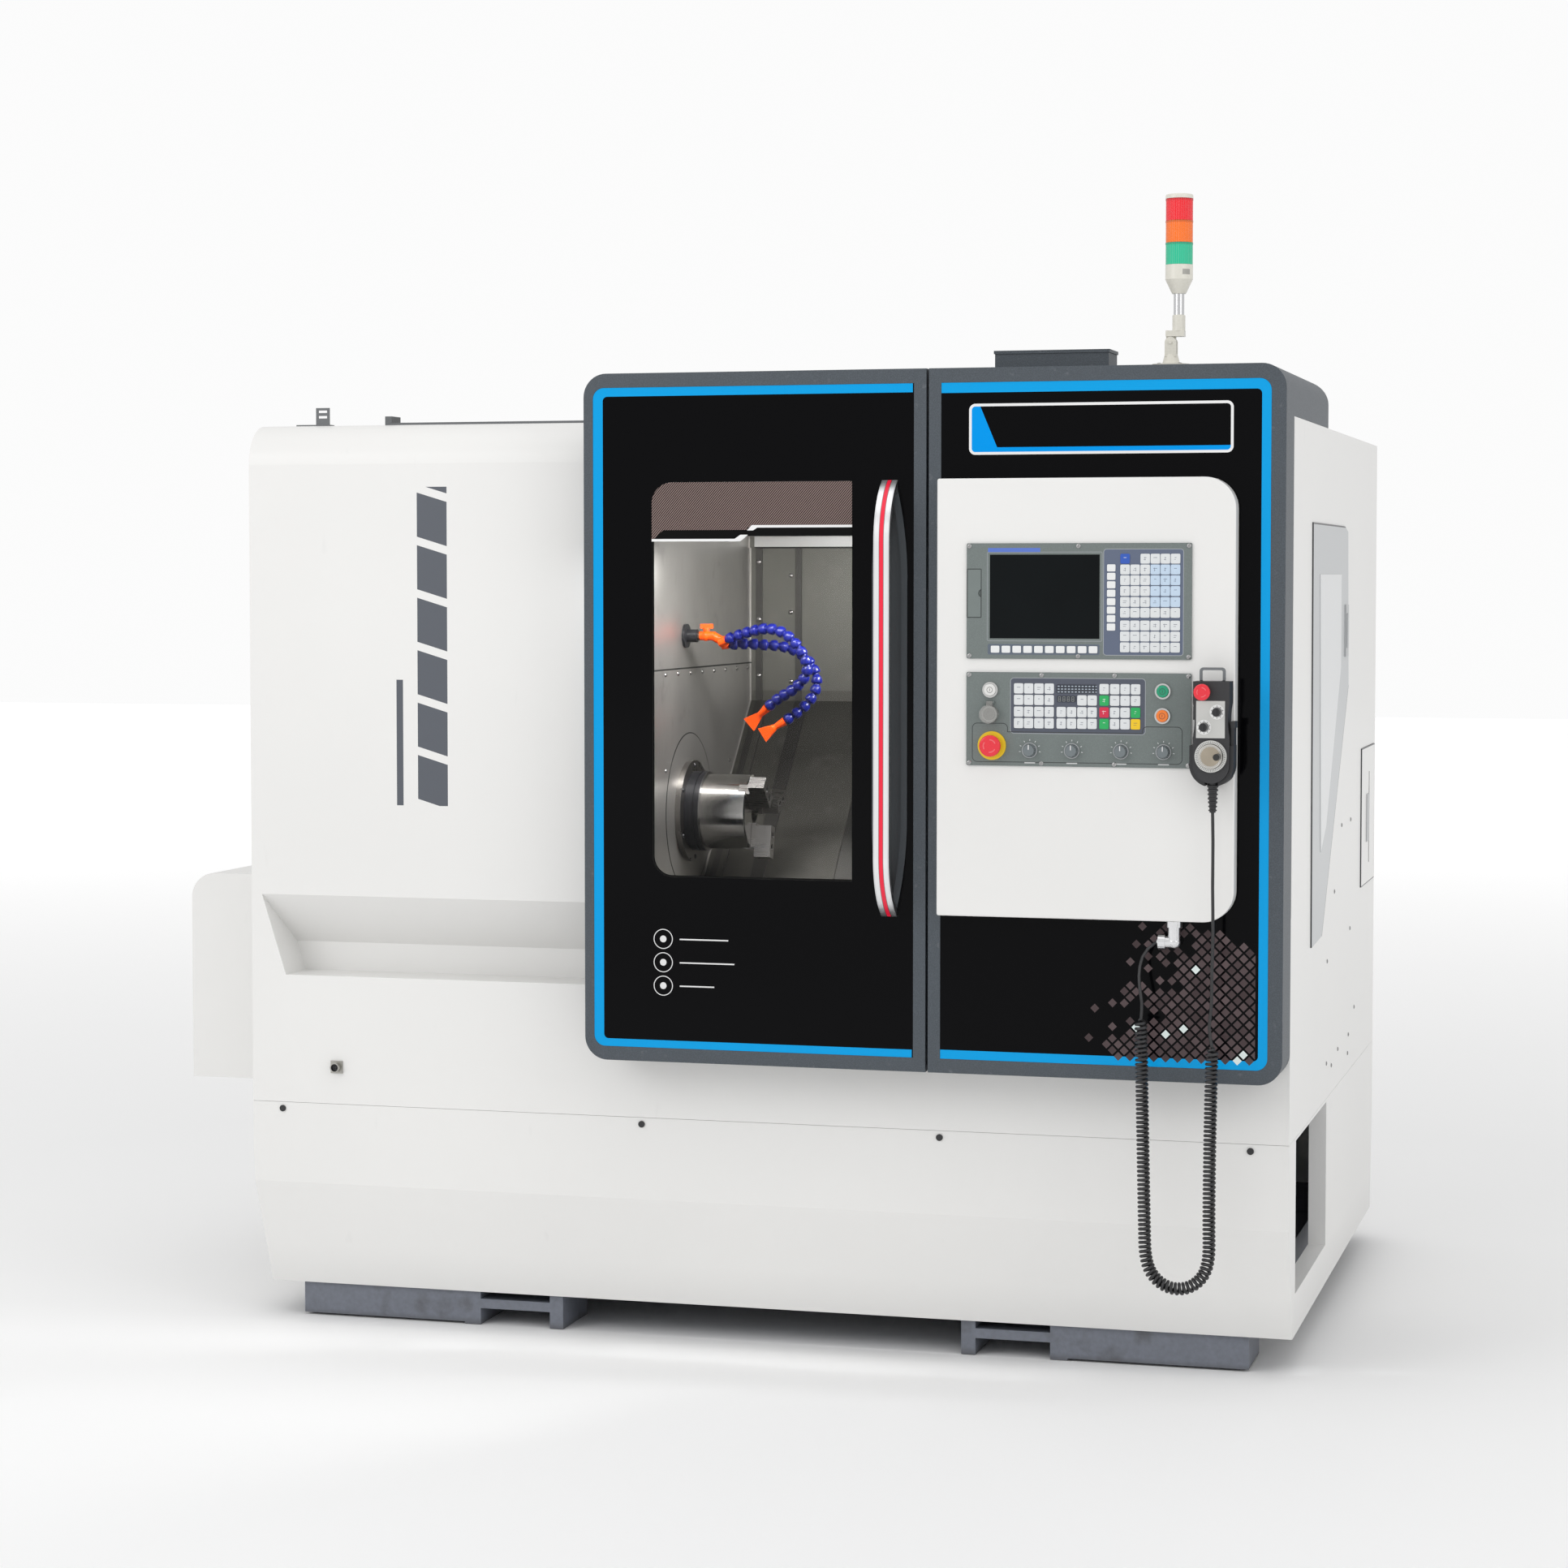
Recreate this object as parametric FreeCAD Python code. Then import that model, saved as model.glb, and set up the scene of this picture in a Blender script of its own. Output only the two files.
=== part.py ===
import FreeCAD, Part
import os
from math import cos, hypot, pi, radians, sin, sqrt, tan

# Slant-bed turning lathe with a full sheet-metal enclosure, in millimetres.
#
# Everything is built on a machine datum and moved to the part's own frame when it is saved:
#   x = 0  the split line between the sliding door and the fixed control frame, +x to the right
#   y = 0  the front plane of the door and the control frame, +y into the machine
#   z = 0  the floor
# The part's own frame has its origin at the middle of the bounding box, on the floor.

# ---- general ----
GAP = 0.3               # clearance between separate pieces
FIT = 0.05              # radial clearance of a shaft in its bore
LEAF_GAP = 0.6          # gap around a hinged leaf
SHEET = 4.0             # enclosure sheet
LINER_SHEET = 3.0       # work-area sheet

# ---- overall ----
BODY_L = 2090.0         # enclosure length without the left box
BODY_D = 1517.0         # enclosure depth
FRAME_W = 667.0         # fixed control frame, from the split to the right side
DOOR_W = 673.5          # sliding door
SPLIT_GAP = 2.5         # half of the gap between door and frame
FRAME_BOTTOM = 574.0    # lower edge of door and frame
FRAME_TOP = 1892.0      # upper edge of door and frame
BODY_SETBACK = 112.0    # body front behind the door front
COVER_TOP = 1808.0      # top of the headstock cover
SIDE_TOP = 1800.0       # top of the rear enclosure
SEAM_Z = 446.0          # joint between enclosure and base skirt
SKIRT_BOTTOM = 68.0
FRONT_REACH = 127.0     # pendant crank in front of the front plane
REAR_REACH = 11.0       # cabinet handle behind the rear panel
SIDE_REACH = 8.0        # side door latch beyond the right side

# ---- door and control frame ----
CORNER_R = 45.0         # outer corners of door and frame
BORDER_SIDE = 27.0      # right border of the frame
BORDER_SPLIT = 23.5     # border beside the split, frame and door
DOOR_BORDER = 18.5      # left border of the door
BORDER_TOP = 27.0
BORDER_BOTTOM = 26.5
PANEL_R = 22.0          # corners of the black panels
DOOR_D = 40.0           # door thickness
PANEL_FRONT = 0.5       # panel face behind the front plane
PANEL_T = 3.2
WINDOW_X = -540.0       # left edge of the window
WINDOW_W = 395.0
WINDOW_Z = 930.0        # lower edge of the window
WINDOW_H = 754.0
WINDOW_R = 40.0
GLASS_T = 5.0
DOOR_TRAVEL = 560.0

# ---- door handle ----
HANDLE_X = -72.0        # centre of the handle
HANDLE_W = 30.0
HANDLE_T = 10.0
HANDLE_Z0 = 866.0
HANDLE_Z1 = 1685.0
HANDLE_REACH = 68.0     # front of the bow in front of the door
HANDLE_BEND = 115.0     # height of each curved end
POCKET_HALF = 34.0      # half width of the finger pocket at its middle
POCKET_END = 12.0       # half width of the finger pocket at its ends
POCKET_RIM = 9.0
POCKET_BEND = 190.0     # height of each curved end of the pocket
POCKET_DEPTH = 26.0

# ---- headstock cover and its recess ----
COVER_ROUND = 80.0
COVER_DEPTH = 588.0     # cover depth, back to the rear enclosure
RECESS_TOP = 866.0
RECESS_BOTTOM = 704.0
RECESS_FOLD = 104.0     # drop of the sloping upper face
RECESS_D = 100.0
RECESS_END = 22.0       # left end of the recess from the cover's left side
RECESS_SLANT = 51.0     # how far the left end leans in
SILL_Z = 870.0          # lower edge of the work opening
HEADER_Z = 1590.0       # upper edge of the work opening

# ---- hood over the frame ----
HOOD_D = 660.0
HOOD_ROUND = 50.0
TOP_BOX = (96.0, 314.0, 150.0, 240.0, 40.0)    # x0, x1, y0, y1, height

# ---- control pod ----
POD_X = 26.5
POD_W = 555.0
POD_Z = 874.0
POD_H = 812.0
POD_D = 35.0
POD_R = 58.0
POD_SHEET = 3.0
PLATE_T = 3.7           # front plates of screen and operator panel
BEZEL_X = 83.8
BEZEL_W = 418.5
BEZEL_Z = 1353.3
BEZEL_H = 212.7
SCREEN_X = 127.4
SCREEN_W = 205.3
SCREEN_Z = 1390.7
SCREEN_H = 154.5
FLAP_X = 85.6
FLAP_W = 25.0
FLAP_Z = 1430.0
FLAP_H = 88.0
FLAP_T = 2.3
PANEL2_Z = 1155.5
PANEL2_H = 172.9
POWER_AT = (129.2, 1295.7)
GUARD_AT = (128.2, 1250.9)
ESTOP_AT = (132.6, 1192.7)
START_AT = (450.4, 1295.6)
HOLD_AT = (450.0, 1250.7)
KNOB_XS = (203.6, 282.3, 373.6, 452.0)
KNOB_Z = 1184.8
BUTTON_R = 11.2
BUTTON_RING_R = 14.5
BUTTON_HEAD = 6.0
BUTTON_STEM_R = 4.0
KNOB_R = 12.5
KNOB_H = 14.0
ESTOP_R = 20.0
ESTOP_COLLAR_R = 26.5
GUARD_R = 17.0
GUARD_H = 15.0
GUARD_HINGE = 22.0      # height of the guard's hinge above its middle

# ---- hand pendant ----
PENDANT_X = 547.0
PENDANT_W = 66.0
PENDANT_TOP = 1316.0
PENDANT_BOTTOM = 1132.0
PENDANT_FRONT = -95.0
PENDANT_D = 46.0
PENDANT_ESTOP = (532.3, 1297.0)
PENDANT_KNOBS = ((557.7, 1261.0), (534.3, 1233.6))
PENDANT_WHEEL = (547.0, 1181.0)
WHEEL_R = 22.0
WHEEL_RING_R = 29.0
LOOP_W = 47.0
LOOP_H = 25.0
LOOP_WIRE = 5.0
CRADLE_WALL = 7.0
CRADLE_TOP = 1200.0
RELIEF_BOTTOM = 1078.0
CORD_Y = -70.0

# ---- cord ----
CORD_D = 6.0
COIL_D = 25.0
LEAD_POINTS = ((547, -70, 1078), (548.5, -70, 1020), (547.5, -70.5, 945), (549.5, -70, 862),
               (547, -69.5, 780), (547.5, -70, 722), (541.5, -70, 687), (548.5, -70, 652))
COIL_POINTS = ((548.5, -70, 652), (547, -70.5, 578), (545, -69, 456), (544.5, -70, 330), (546, -71, 250),
               (523, -71, 214), (487, -71.5, 202), (451, -71, 215), (428, -70, 250), (426, -70, 328),
               (423, -69, 448), (420.5, -70, 570), (418, -70, 700))
TAIL_POINTS = ((418, -70, 700), (420.5, -69.5, 727), (413.5, -66, 758), (411.5, -55, 792),
               (419.5, -35, 823), (438.6, -20, 835))
ELBOW_X = 470.0
ELBOW_Y = -19.0
ELBOW_Z = 835.0
ELBOW_R = 12.0

# ---- signal tower ----
TOWER_X = 454.0
TOWER_Y = 100.0
TOWER_OFFSET = 14.0     # the foot stands this far left of the pole
TOWER_FLANGE_R = 35.0
TOWER_PIVOT_Z = 1938.0
TOWER_POLE_R = 9.8
TOWER_NECK_Z = 2028.0
TOWER_BASE_Z = 2054.0
TOWER_LENS_Z = 2081.0
TOWER_R = 25.5
LENS_H = 40.5
TOWER_CAP_H = 8.0

# ---- base, skirt and feet ----
CHIN_Z = 284.0          # the skirt folds inwards below this height
CHIN_IN = 65.0          # front inset at the skirt's lower edge
REAR_IN = 29.0
SIDE_IN = 12.0
SIDE_FOLD_Z = 360.0
CHIP_Y0 = 215.0         # chip opening in the right side
CHIP_Y1 = 714.0
CHIP_Z0 = 147.0
CHIP_Z1 = 440.0
CHIP_JAMB = 35.0
PLUG_R = 5.0
PLUG_Z = 433.0
PLUG_XS = (-1358.0, -598.0, 0.0, 595.0)
SOCKET_AT = (-1240.0, 521.0)
FOOT_Y = 186.0
FOOT_D = 150.0
FOOT_REAR_Y = 1430.0
FOOT_LEFT_X = -1345.0
FOOT_RIGHT_X = 584.0
FOOT_BLOCK = 348.0      # low block of a foot
FOOT_PAD = 34.0
FORK_W = 147.0          # fork pocket
FOOT_LEG = 28.0
FORK_H = 33.0
FOOT_WEB_T = 19.0
PLATE_Z0 = 66.0
PLATE_Z1 = 120.0

# ---- work area and slant bed ----
WALL_X = -575.0         # spindle wall
RIGHT_WALL_X = 560.0
BACK_Y = 800.0
SLANT_Z = 1240.0        # slant cover meets the back wall here, and falls at 45 degrees
SLANT_L = 840.0
COVER_LEFT = -300.0     # end of the left fixed slant cover
COVER_RIGHT = 310.0     # start of the right fixed slant cover
LAP_Z = 1322.0          # top of the lapped lower sheet on the spindle wall
BED_N = -110.0          # bed top under the slant cover plane
BED_X0 = -1290.0
BED_X1 = 505.0
RAIL_U = (330.0, 640.0)
RAIL_W = 35.0
RAIL_H = 35.0
SCREW_U = 485.0
SCREW_N = -88.0
Z_SCREW_R = 12.5
SADDLE_X0 = -40.0
SADDLE_L = 340.0
NECK_INSET = 30.0
NECK_TOP = 20.0
X_RAIL_W = 25.0
X_RAIL_H = 22.0
X_SCREW_R = 8.0
X_SCREW_N = 31.0
SLIDE_U0 = 380.0
SLIDE_L = 220.0
SLIDE_X0 = 0.0
SLIDE_W = 260.0
GANG_TOP = 90.0

# ---- spindle and chuck ----
SPINDLE_Y = 355.0
SPINDLE_Z = 1033.0
SPINDLE_R = 55.0
BORE_R = 23.0
HEADSTOCK_R = 150.0
HEADSTOCK_L = 420.0
NOSE_R = 90.0
FLANGE_R = 102.0
FLANGE_T = 11.0
ADAPTOR_R = 80.0
ADAPTOR_L = 30.0
CHUCK_R = 75.0
CHUCK_L = 94.0
JAW_ANGLES = (17.0, 137.0, 257.0)   # from +y towards +z
JAW_W = 28.0
JAW_TONGUE = 20.0
JAW_TONGUE_D = 17.0
JAW_BASE = 9.0
JAW_REACH = 41.0
JAW_R0 = 29.0
JAW_R1 = 93.0
COVER_PLATE_R = 158.0

# ---- coolant ----
PORT_Y = 330.0
PORT_Z = 1386.0
HOSE_R = 11.0
HOSE_A = ((-489, 326, 1378), (-462, 324, 1388), (-428, 314, 1397), (-392, 304, 1403), (-356, 300, 1392),
          (-328, 303, 1362), (-313, 308, 1328), (-322, 316, 1302), (-352, 327, 1277), (-386, 338, 1261),
          (-407, 343, 1243))
HOSE_B = ((-489, 348, 1368), (-460, 352, 1371), (-424, 363, 1368), (-386, 373, 1366), (-348, 379, 1353),
          (-319, 380, 1322), (-312, 376, 1286), (-326, 370, 1256), (-350, 363, 1232), (-375, 358, 1216))
NOZZLE_L = 54.0
NOZZLE_W = 16.0         # half width of a nozzle's mouth

# ---- side, rear and top fittings ----
SIDE_DOOR = ((404, 1609), (958, 1609), (1018, 1598), (1045, 1274), (592, 790), (420, 784))
SIDE_FIELD = ((515, 1509), (887, 1509), (887, 1318), (640, 1006), (552, 960))
SERVICE_DOOR = (1330.0, 1604.0, 822.0, 1127.0)      # y0, y1, z0, z1
CABINET_DOOR = (-240.0, 460.0, 560.0, 1650.0)       # x0, x1, z0, z1
LEAF_T = 3.0            # thickness of a hinged leaf
LEAF_INSET = 0.5        # how far a hinged leaf sits inside its opening
LEFT_BOX_L = 264.0
LEFT_BOX_Y = 392.0
LEFT_BOX_D = 900.0
LEFT_BOX_TOP = 879.0
LEFT_BOX_ROUND = 52.0
RAIL_Y = 206.0          # door rail on the cover
RAIL_X0 = -1150.0

BODY_LEFT = FRAME_W - BODY_L
REAR_Y = BODY_SETBACK + BODY_D
COVER_BACK = BODY_SETBACK + COVER_DEPTH
DOOR_X0 = -SPLIT_GAP - DOOR_W
X_MIDDLE = (BODY_LEFT - LEFT_BOX_L + FRAME_W + SIDE_REACH) / 2
Y_MIDDLE = (REAR_Y + REAR_REACH - FRONT_REACH) / 2
ROOT_HALF = sqrt(0.5)


# ---- helpers ----
def vec(x, y, z):
    return FreeCAD.Vector(x, y, z)


def block(x0, x1, y0, y1, z0, z1):
    return Part.makeBox(x1 - x0, y1 - y0, z1 - z0, vec(x0, y0, z0))


def rod(start, end, radius):
    """Cylinder between two points."""
    a = vec(*start)
    b = vec(*end)
    return Part.makeCylinder(radius, (b - a).Length, a, b - a)


def pipe(start, end, outer, inner):
    return rod(start, end, outer).cut(rod(start, end, inner))


def cone(start, end, r0, r1):
    a = vec(*start)
    b = vec(*end)
    return Part.makeCone(r0, r1, (b - a).Length, a, b - a)


def fuse(first, *others):
    return first.multiFuse(list(others)).removeSplitter() if others else first


def prism_x(points, x0, x1):
    """Polygon of (y, z) corners, drawn out along x."""
    corners = [vec(x0, y, z) for y, z in points]
    return Part.Face(Part.makePolygon(corners + corners[:1])).extrude(vec(x1 - x0, 0, 0))


def prism_y(points, y0, y1):
    """Polygon of (x, z) corners, drawn out along y."""
    corners = [vec(x, y0, z) for x, z in points]
    return Part.Face(Part.makePolygon(corners + corners[:1])).extrude(vec(0, y1 - y0, 0))


def rounded(x0, x1, z0, z1, y0, y1, left=0.0, right=0.0):
    """Plate in the xz plane with rounded left and right corners, drawn out along y."""
    spots = ((x0, z0, left, 1, 1), (x1, z0, right, -1, 1), (x1, z1, right, -1, -1), (x0, z1, left, 1, -1))
    edges = []
    ends = []
    for number, (x, z, r, sx, sz) in enumerate(spots):
        along = vec(x + sx * r, y0, z)
        up = vec(x, y0, z + sz * r)
        first, last = (up, along) if number % 2 == 0 else (along, up)
        middle = vec(x + sx * r * (1 - ROOT_HALF), y0, z + sz * r * (1 - ROOT_HALF))
        ends.append((first, middle, last, r))
    for number, (first, middle, last, r) in enumerate(ends):
        if r > 0:
            edges.append(Part.Arc(first, middle, last).toShape())
        edges.append(Part.LineSegment(last, ends[(number + 1) % 4][0]).toShape())
    return Part.Face(Part.Wire(edges)).extrude(vec(0, y1 - y0, 0))


def slant(u, n):
    """(y, z) of a point u down the slant cover and n out of it."""
    return BACK_Y - (u + n) * ROOT_HALF, SLANT_Z - (u - n) * ROOT_HALF


def slant_block(x0, x1, u0, u1, n0, n1):
    return prism_x([slant(u0, n0), slant(u1, n0), slant(u1, n1), slant(u0, n1)], x0, x1)


def slant_rod(x, u0, u1, n, radius):
    return rod((x, *slant(u0, n)), (x, *slant(u1, n)), radius)


def route_tube(name, points, radius):
    """Tube along straight runs joined by tangent arcs, as large as the runs allow."""
    spots = [vec(*p) for p in points]
    edges = []
    radii = []
    last = spots[0]
    for before, at, after in zip(spots, spots[1:], spots[2:]):
        back = before - at
        ahead = after - at
        shorter = min(back.Length, ahead.Length)
        back.normalize()
        ahead.normalize()
        turn = pi - back.getAngle(ahead)
        reach = 0.45 * shorter
        bend = reach / tan(turn / 2)
        radii.append(round(bend))
        enter = at + back * reach
        leave = at + ahead * reach
        inward = back + ahead
        inward.normalize()
        middle = at + inward * (bend / cos(turn / 2) - bend)
        edges.append(Part.LineSegment(last, enter).toShape())
        edges.append(Part.Arc(enter, middle, leave).toShape())
        last = leave
    edges.append(Part.LineSegment(last, spots[-1]).toShape())
    path = Part.Wire(edges)
    start = spots[1] - spots[0]
    profile = Part.Wire(Part.makeCircle(radius, spots[0], start))
    solid = path.makePipeShell([profile], True, False)
    share = solid.Volume / (pi * radius * radius * path.Length)
    print(f"{name}: length {path.Length:.0f}, volume share {share:.4f}, arc radii {radii}")
    return solid


def save(name, shape):
    moved = shape.copy()
    moved.translate(vec(-X_MIDDLE, -Y_MIDDLE, 0))
    moved.exportStep(f"parts/{name}.step")


# ---- base ----
def foot(x0, x1, y0):
    """One foot: a low block, a pad, a fork pocket under a web, and a leg. x1 < x0 mirrors it."""
    way = 1 if x1 > x0 else -1

    def part(a, b, z0, z1):
        ends = sorted((x0 + way * a, x0 + way * b))
        return block(ends[0], ends[1], y0, y0 + FOOT_D, z0, z1)

    pad = FOOT_BLOCK + FOOT_PAD
    leg = pad + FORK_W
    return [part(0, FOOT_BLOCK, 4, PLATE_Z0 + 4), part(FOOT_BLOCK, pad, 0, PLATE_Z0 + 4),
            part(pad, leg, FORK_H, FORK_H + FOOT_WEB_T), part(leg, leg + FOOT_LEG, 0, PLATE_Z0 + 4)]


def bed_casting():
    plate = block(FOOT_LEFT_X, FOOT_RIGHT_X, FOOT_Y, FOOT_REAR_Y + FOOT_D, PLATE_Z0, PLATE_Z1)
    plate = plate.cut(block(FOOT_LEFT_X + 60, FOOT_RIGHT_X - 60, FOOT_Y + FOOT_D + 60, FOOT_REAR_Y - 60,
                            PLATE_Z0 - 1, PLATE_Z0 + 30))
    pieces = []
    for y0 in (FOOT_Y, FOOT_REAR_Y):
        pieces += foot(FOOT_LEFT_X, 0, y0)
        pieces += foot(FOOT_RIGHT_X, -1000, y0)
    top0 = slant(60, BED_N)
    top1 = slant(760, BED_N)
    rear = top0[0] + 160
    outline = [top0, top1, (top1[0], PLATE_Z1 - 1), (rear, PLATE_Z1 - 1), (rear, top0[1] - 60)]
    wedge = prism_x(outline, BED_X0, BED_X1)
    in0 = slant(130, BED_N - 45)
    in1 = slant(690, BED_N - 45)
    hollow = [in0, in1, (in1[0], PLATE_Z1 + 40), (rear - 45, PLATE_Z1 + 40), (rear - 45, in0[1] - 40)]
    bays = 3
    bay = (BED_X1 - BED_X0 - 40 * (bays + 1)) / bays
    for number in range(bays):
        x0 = BED_X0 + 40 + number * (bay + 40)
        wedge = wedge.cut(prism_x(hollow, x0, x0 + bay))
    rails = [slant_block(WALL_X + 45, BED_X1, u - RAIL_W / 2, u + RAIL_W / 2, BED_N - 1, BED_N + RAIL_H)
             for u in RAIL_U]
    ends = [slant_block(x, x + 36, SCREW_U - 32, SCREW_U + 32, BED_N - 1, SCREW_N + 26)
            for x in (WALL_X + 20, BED_X1 - 36)]
    motor = slant_block(BED_X1 - 1, BED_X1 + 140, SCREW_U - 45, SCREW_U + 45, BED_N - 20, SCREW_N + 45)
    solid = fuse(plate, wedge, *pieces, *rails, *ends, motor)
    at = slant(SCREW_U, SCREW_N)
    bore = rod((WALL_X + 10, *at), (BED_X1 + 60, *at), Z_SCREW_R + FIT)
    save("bed_casting", solid.cut(bore))


def skirt_solid(inset, z0, z1):
    """Outer form of the skirt, or its hollow when inset by the sheet."""
    t = inset
    front = BODY_SETBACK + t
    rear = REAR_Y - t
    run = CHIN_Z - SKIRT_BOTTOM
    low = CHIN_Z - z0
    side_run = SIDE_FOLD_Z - SKIRT_BOTTOM
    side_low = SIDE_FOLD_Z - z0
    across = [(front, z1), (front, CHIN_Z), (front + CHIN_IN * low / run, z0),
              (rear - REAR_IN * low / run, z0), (rear, CHIN_Z), (rear, z1)]
    along = [(BODY_LEFT + t, z1), (BODY_LEFT + t, SIDE_FOLD_Z),
             (BODY_LEFT + t + SIDE_IN * side_low / side_run, z0), (FRAME_W - t, z0), (FRAME_W - t, z1)]
    return prism_x(across, BODY_LEFT, FRAME_W).common(prism_y(along, BODY_SETBACK, REAR_Y))


def base_skirt():
    shell = skirt_solid(0, SKIRT_BOTTOM, SEAM_Z - GAP).cut(skirt_solid(SHEET, SKIRT_BOTTOM - 5, SEAM_Z + 5))
    tunnel = block(FRAME_W - CHIP_JAMB, FRAME_W, CHIP_Y0 - SHEET, CHIP_Y1 + SHEET, CHIP_Z0 - SHEET,
                   CHIP_Z1 + SHEET)
    shell = fuse(shell, tunnel)
    shell = shell.cut(block(FRAME_W - CHIP_JAMB - 1, FRAME_W + 1, CHIP_Y0, CHIP_Y1, CHIP_Z0, CHIP_Z1))
    for x in PLUG_XS:
        hole = rod((x, BODY_SETBACK - 1, PLUG_Z), (x, BODY_SETBACK + SHEET + 1, PLUG_Z), PLUG_R + GAP)
        shell = shell.cut(hole)
    save("base_skirt", shell)


def fittings():
    """Plugs in the skirt's screw holes, and the round socket on the front."""
    pieces = []
    for x in PLUG_XS:
        plug = rod((x, BODY_SETBACK - 1.5, PLUG_Z), (x, BODY_SETBACK + SHEET, PLUG_Z), PLUG_R)
        head = rod((x, BODY_SETBACK - 2.5, PLUG_Z), (x, BODY_SETBACK - GAP, PLUG_Z), PLUG_R + 1.5)
        pieces.append(fuse(plug, head))
    x, z = SOCKET_AT
    face = BODY_SETBACK - GAP
    flange = block(x - 12.5, x + 12.5, face - 3, face, z - 12.5, z + 12.5)
    barrel = pipe((x, face - 14, z), (x, face - 3, z), 9.5, 7.5)
    core = rod((x, face - 9, z), (x, face - 3, z), 7.5)
    pins = [rod((x + a, face - 12, z + b), (x + a, face - 9, z + b), 1)
            for a in (-2.4, 2.4) for b in (-2.4, 2.4)]
    pieces.append(fuse(flange, barrel, core, *pins))
    save("fittings", Part.makeCompound(pieces))


# ---- enclosure ----
def cover_form(inset, x0, x1, y1, z0):
    """Headstock cover section with its rounded front top edge, drawn out along x."""
    front = BODY_SETBACK + inset
    top = COVER_TOP - inset
    r = COVER_ROUND - inset
    cy = BODY_SETBACK + COVER_ROUND
    cz = COVER_TOP - COVER_ROUND
    arc = Part.Arc(vec(x0, front, cz), vec(x0, cy - r * ROOT_HALF, cz + r * ROOT_HALF), vec(x0, cy, top))
    corners = [vec(x0, cy, top), vec(x0, y1, top), vec(x0, y1, z0), vec(x0, front, z0), vec(x0, front, cz)]
    lines = [Part.LineSegment(a, b).toShape() for a, b in zip(corners, corners[1:])]
    return Part.Face(Part.Wire([arc.toShape()] + lines)).extrude(vec(x1 - x0, 0, 0))


def recess_form(grow):
    """Grip recess under the cover: sloping top face, upright back, flat ledge, leaning left end."""
    g = grow
    front = BODY_SETBACK - 20
    back = BODY_SETBACK + RECESS_D + g
    over = RECESS_FOLD / RECESS_D
    section = [(front, RECESS_TOP + g + 20 * over), (back, RECESS_TOP - RECESS_FOLD + g),
               (back, RECESS_BOTTOM - g), (front, RECESS_BOTTOM - g)]
    x_top = BODY_LEFT + RECESS_END - g
    lean = RECESS_SLANT / (RECESS_TOP - RECESS_BOTTOM)
    z0 = RECESS_BOTTOM - 60
    z1 = RECESS_TOP + 60
    end = [(x_top - 60 * lean, z1), (x_top + (RECESS_TOP - z0) * lean, z0), (WALL_X - 30 + g, z0),
           (WALL_X - 30 + g, z1)]
    return prism_x(section, BODY_LEFT, WALL_X).common(prism_y(end, front, back))


def front_housing():
    right = SPLIT_GAP - GAP
    z0 = SEAM_Z + GAP
    outer = cover_form(0, BODY_LEFT, right, COVER_BACK - GAP, z0)
    inner = cover_form(SHEET, BODY_LEFT + SHEET, right + 1, COVER_BACK + 1, z0 - 1)
    shell = outer.cut(inner.cut(recess_form(SHEET))).cut(recess_form(0))
    shell = shell.cut(block(WALL_X, right + 1, BODY_SETBACK - 1, BODY_SETBACK + SHEET + 1, SILL_Z, HEADER_Z))
    lower = block(right - 1, FRAME_W, BODY_SETBACK, BODY_SETBACK + SHEET, z0, SILL_Z)
    save("front_housing", fuse(shell, lower))


def outset(corners, grow):
    """Corners of a clockwise convex outline with every edge moved out by grow."""
    moved = []
    for i, (y, z) in enumerate(corners):
        normals = []
        for (y0, z0), (y1, z1) in ((corners[i - 1], (y, z)), ((y, z), corners[(i + 1) % len(corners)])):
            length = hypot(y1 - y0, z1 - z0)
            normals.append(((z0 - z1) / length, (y1 - y0) / length))
        (ay, az), (by, bz) = normals
        share = grow / (1 + ay * by + az * bz)
        moved.append((y + share * (ay + by), z + share * (az + bz)))
    return moved


def side_door_form(grow, x0, x1):
    return prism_x(outset(SIDE_DOOR, grow), x0, x1)


def rear_housing():
    z0 = SEAM_Z + GAP
    outer = block(BODY_LEFT, FRAME_W, COVER_BACK, REAR_Y, z0, SIDE_TOP)
    inner = block(BODY_LEFT + SHEET, FRAME_W - SHEET, COVER_BACK - 1, REAR_Y - SHEET, z0 - 1,
                  SIDE_TOP - SHEET)
    side = block(FRAME_W - SHEET, FRAME_W, BODY_SETBACK + SHEET + GAP, COVER_BACK + 1, z0, SIDE_TOP)
    roof = block(SPLIT_GAP, FRAME_W, HOOD_D - 30, COVER_BACK + 1, SIDE_TOP - SHEET, SIDE_TOP)
    shell = fuse(outer.cut(inner), side, roof)
    shell = shell.cut(side_door_form(LEAF_GAP, FRAME_W - SHEET - 1, FRAME_W + 1))
    y0, y1, d0, d1 = SERVICE_DOOR
    shell = shell.cut(block(FRAME_W - SHEET - 1, FRAME_W + 1, y0 - LEAF_GAP, y1 + LEAF_GAP, d0 - LEAF_GAP,
                            d1 + LEAF_GAP))
    x0, x1, c0, c1 = CABINET_DOOR
    shell = shell.cut(block(x0 - LEAF_GAP, x1 + LEAF_GAP, REAR_Y - SHEET - 1, REAR_Y + 1, c0 - LEAF_GAP,
                            c1 + LEAF_GAP))
    save("rear_housing", shell)


def side_door():
    """Access door in the right side, hinged at its front edge, with a raised inner field and a latch."""
    leaf = side_door_form(0, FRAME_W - LEAF_INSET, FRAME_W + LEAF_T - LEAF_INSET)
    field = prism_x(SIDE_FIELD, FRAME_W + 2, FRAME_W + 4)
    latch = block(FRAME_W + 2, FRAME_W + 6, 958, 1008, 1338, 1446)
    lever = block(FRAME_W + 5, FRAME_W + SIDE_REACH, 968, 992, 1356, 1428)
    save("side_door", fuse(leaf, field, latch, lever))


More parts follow.
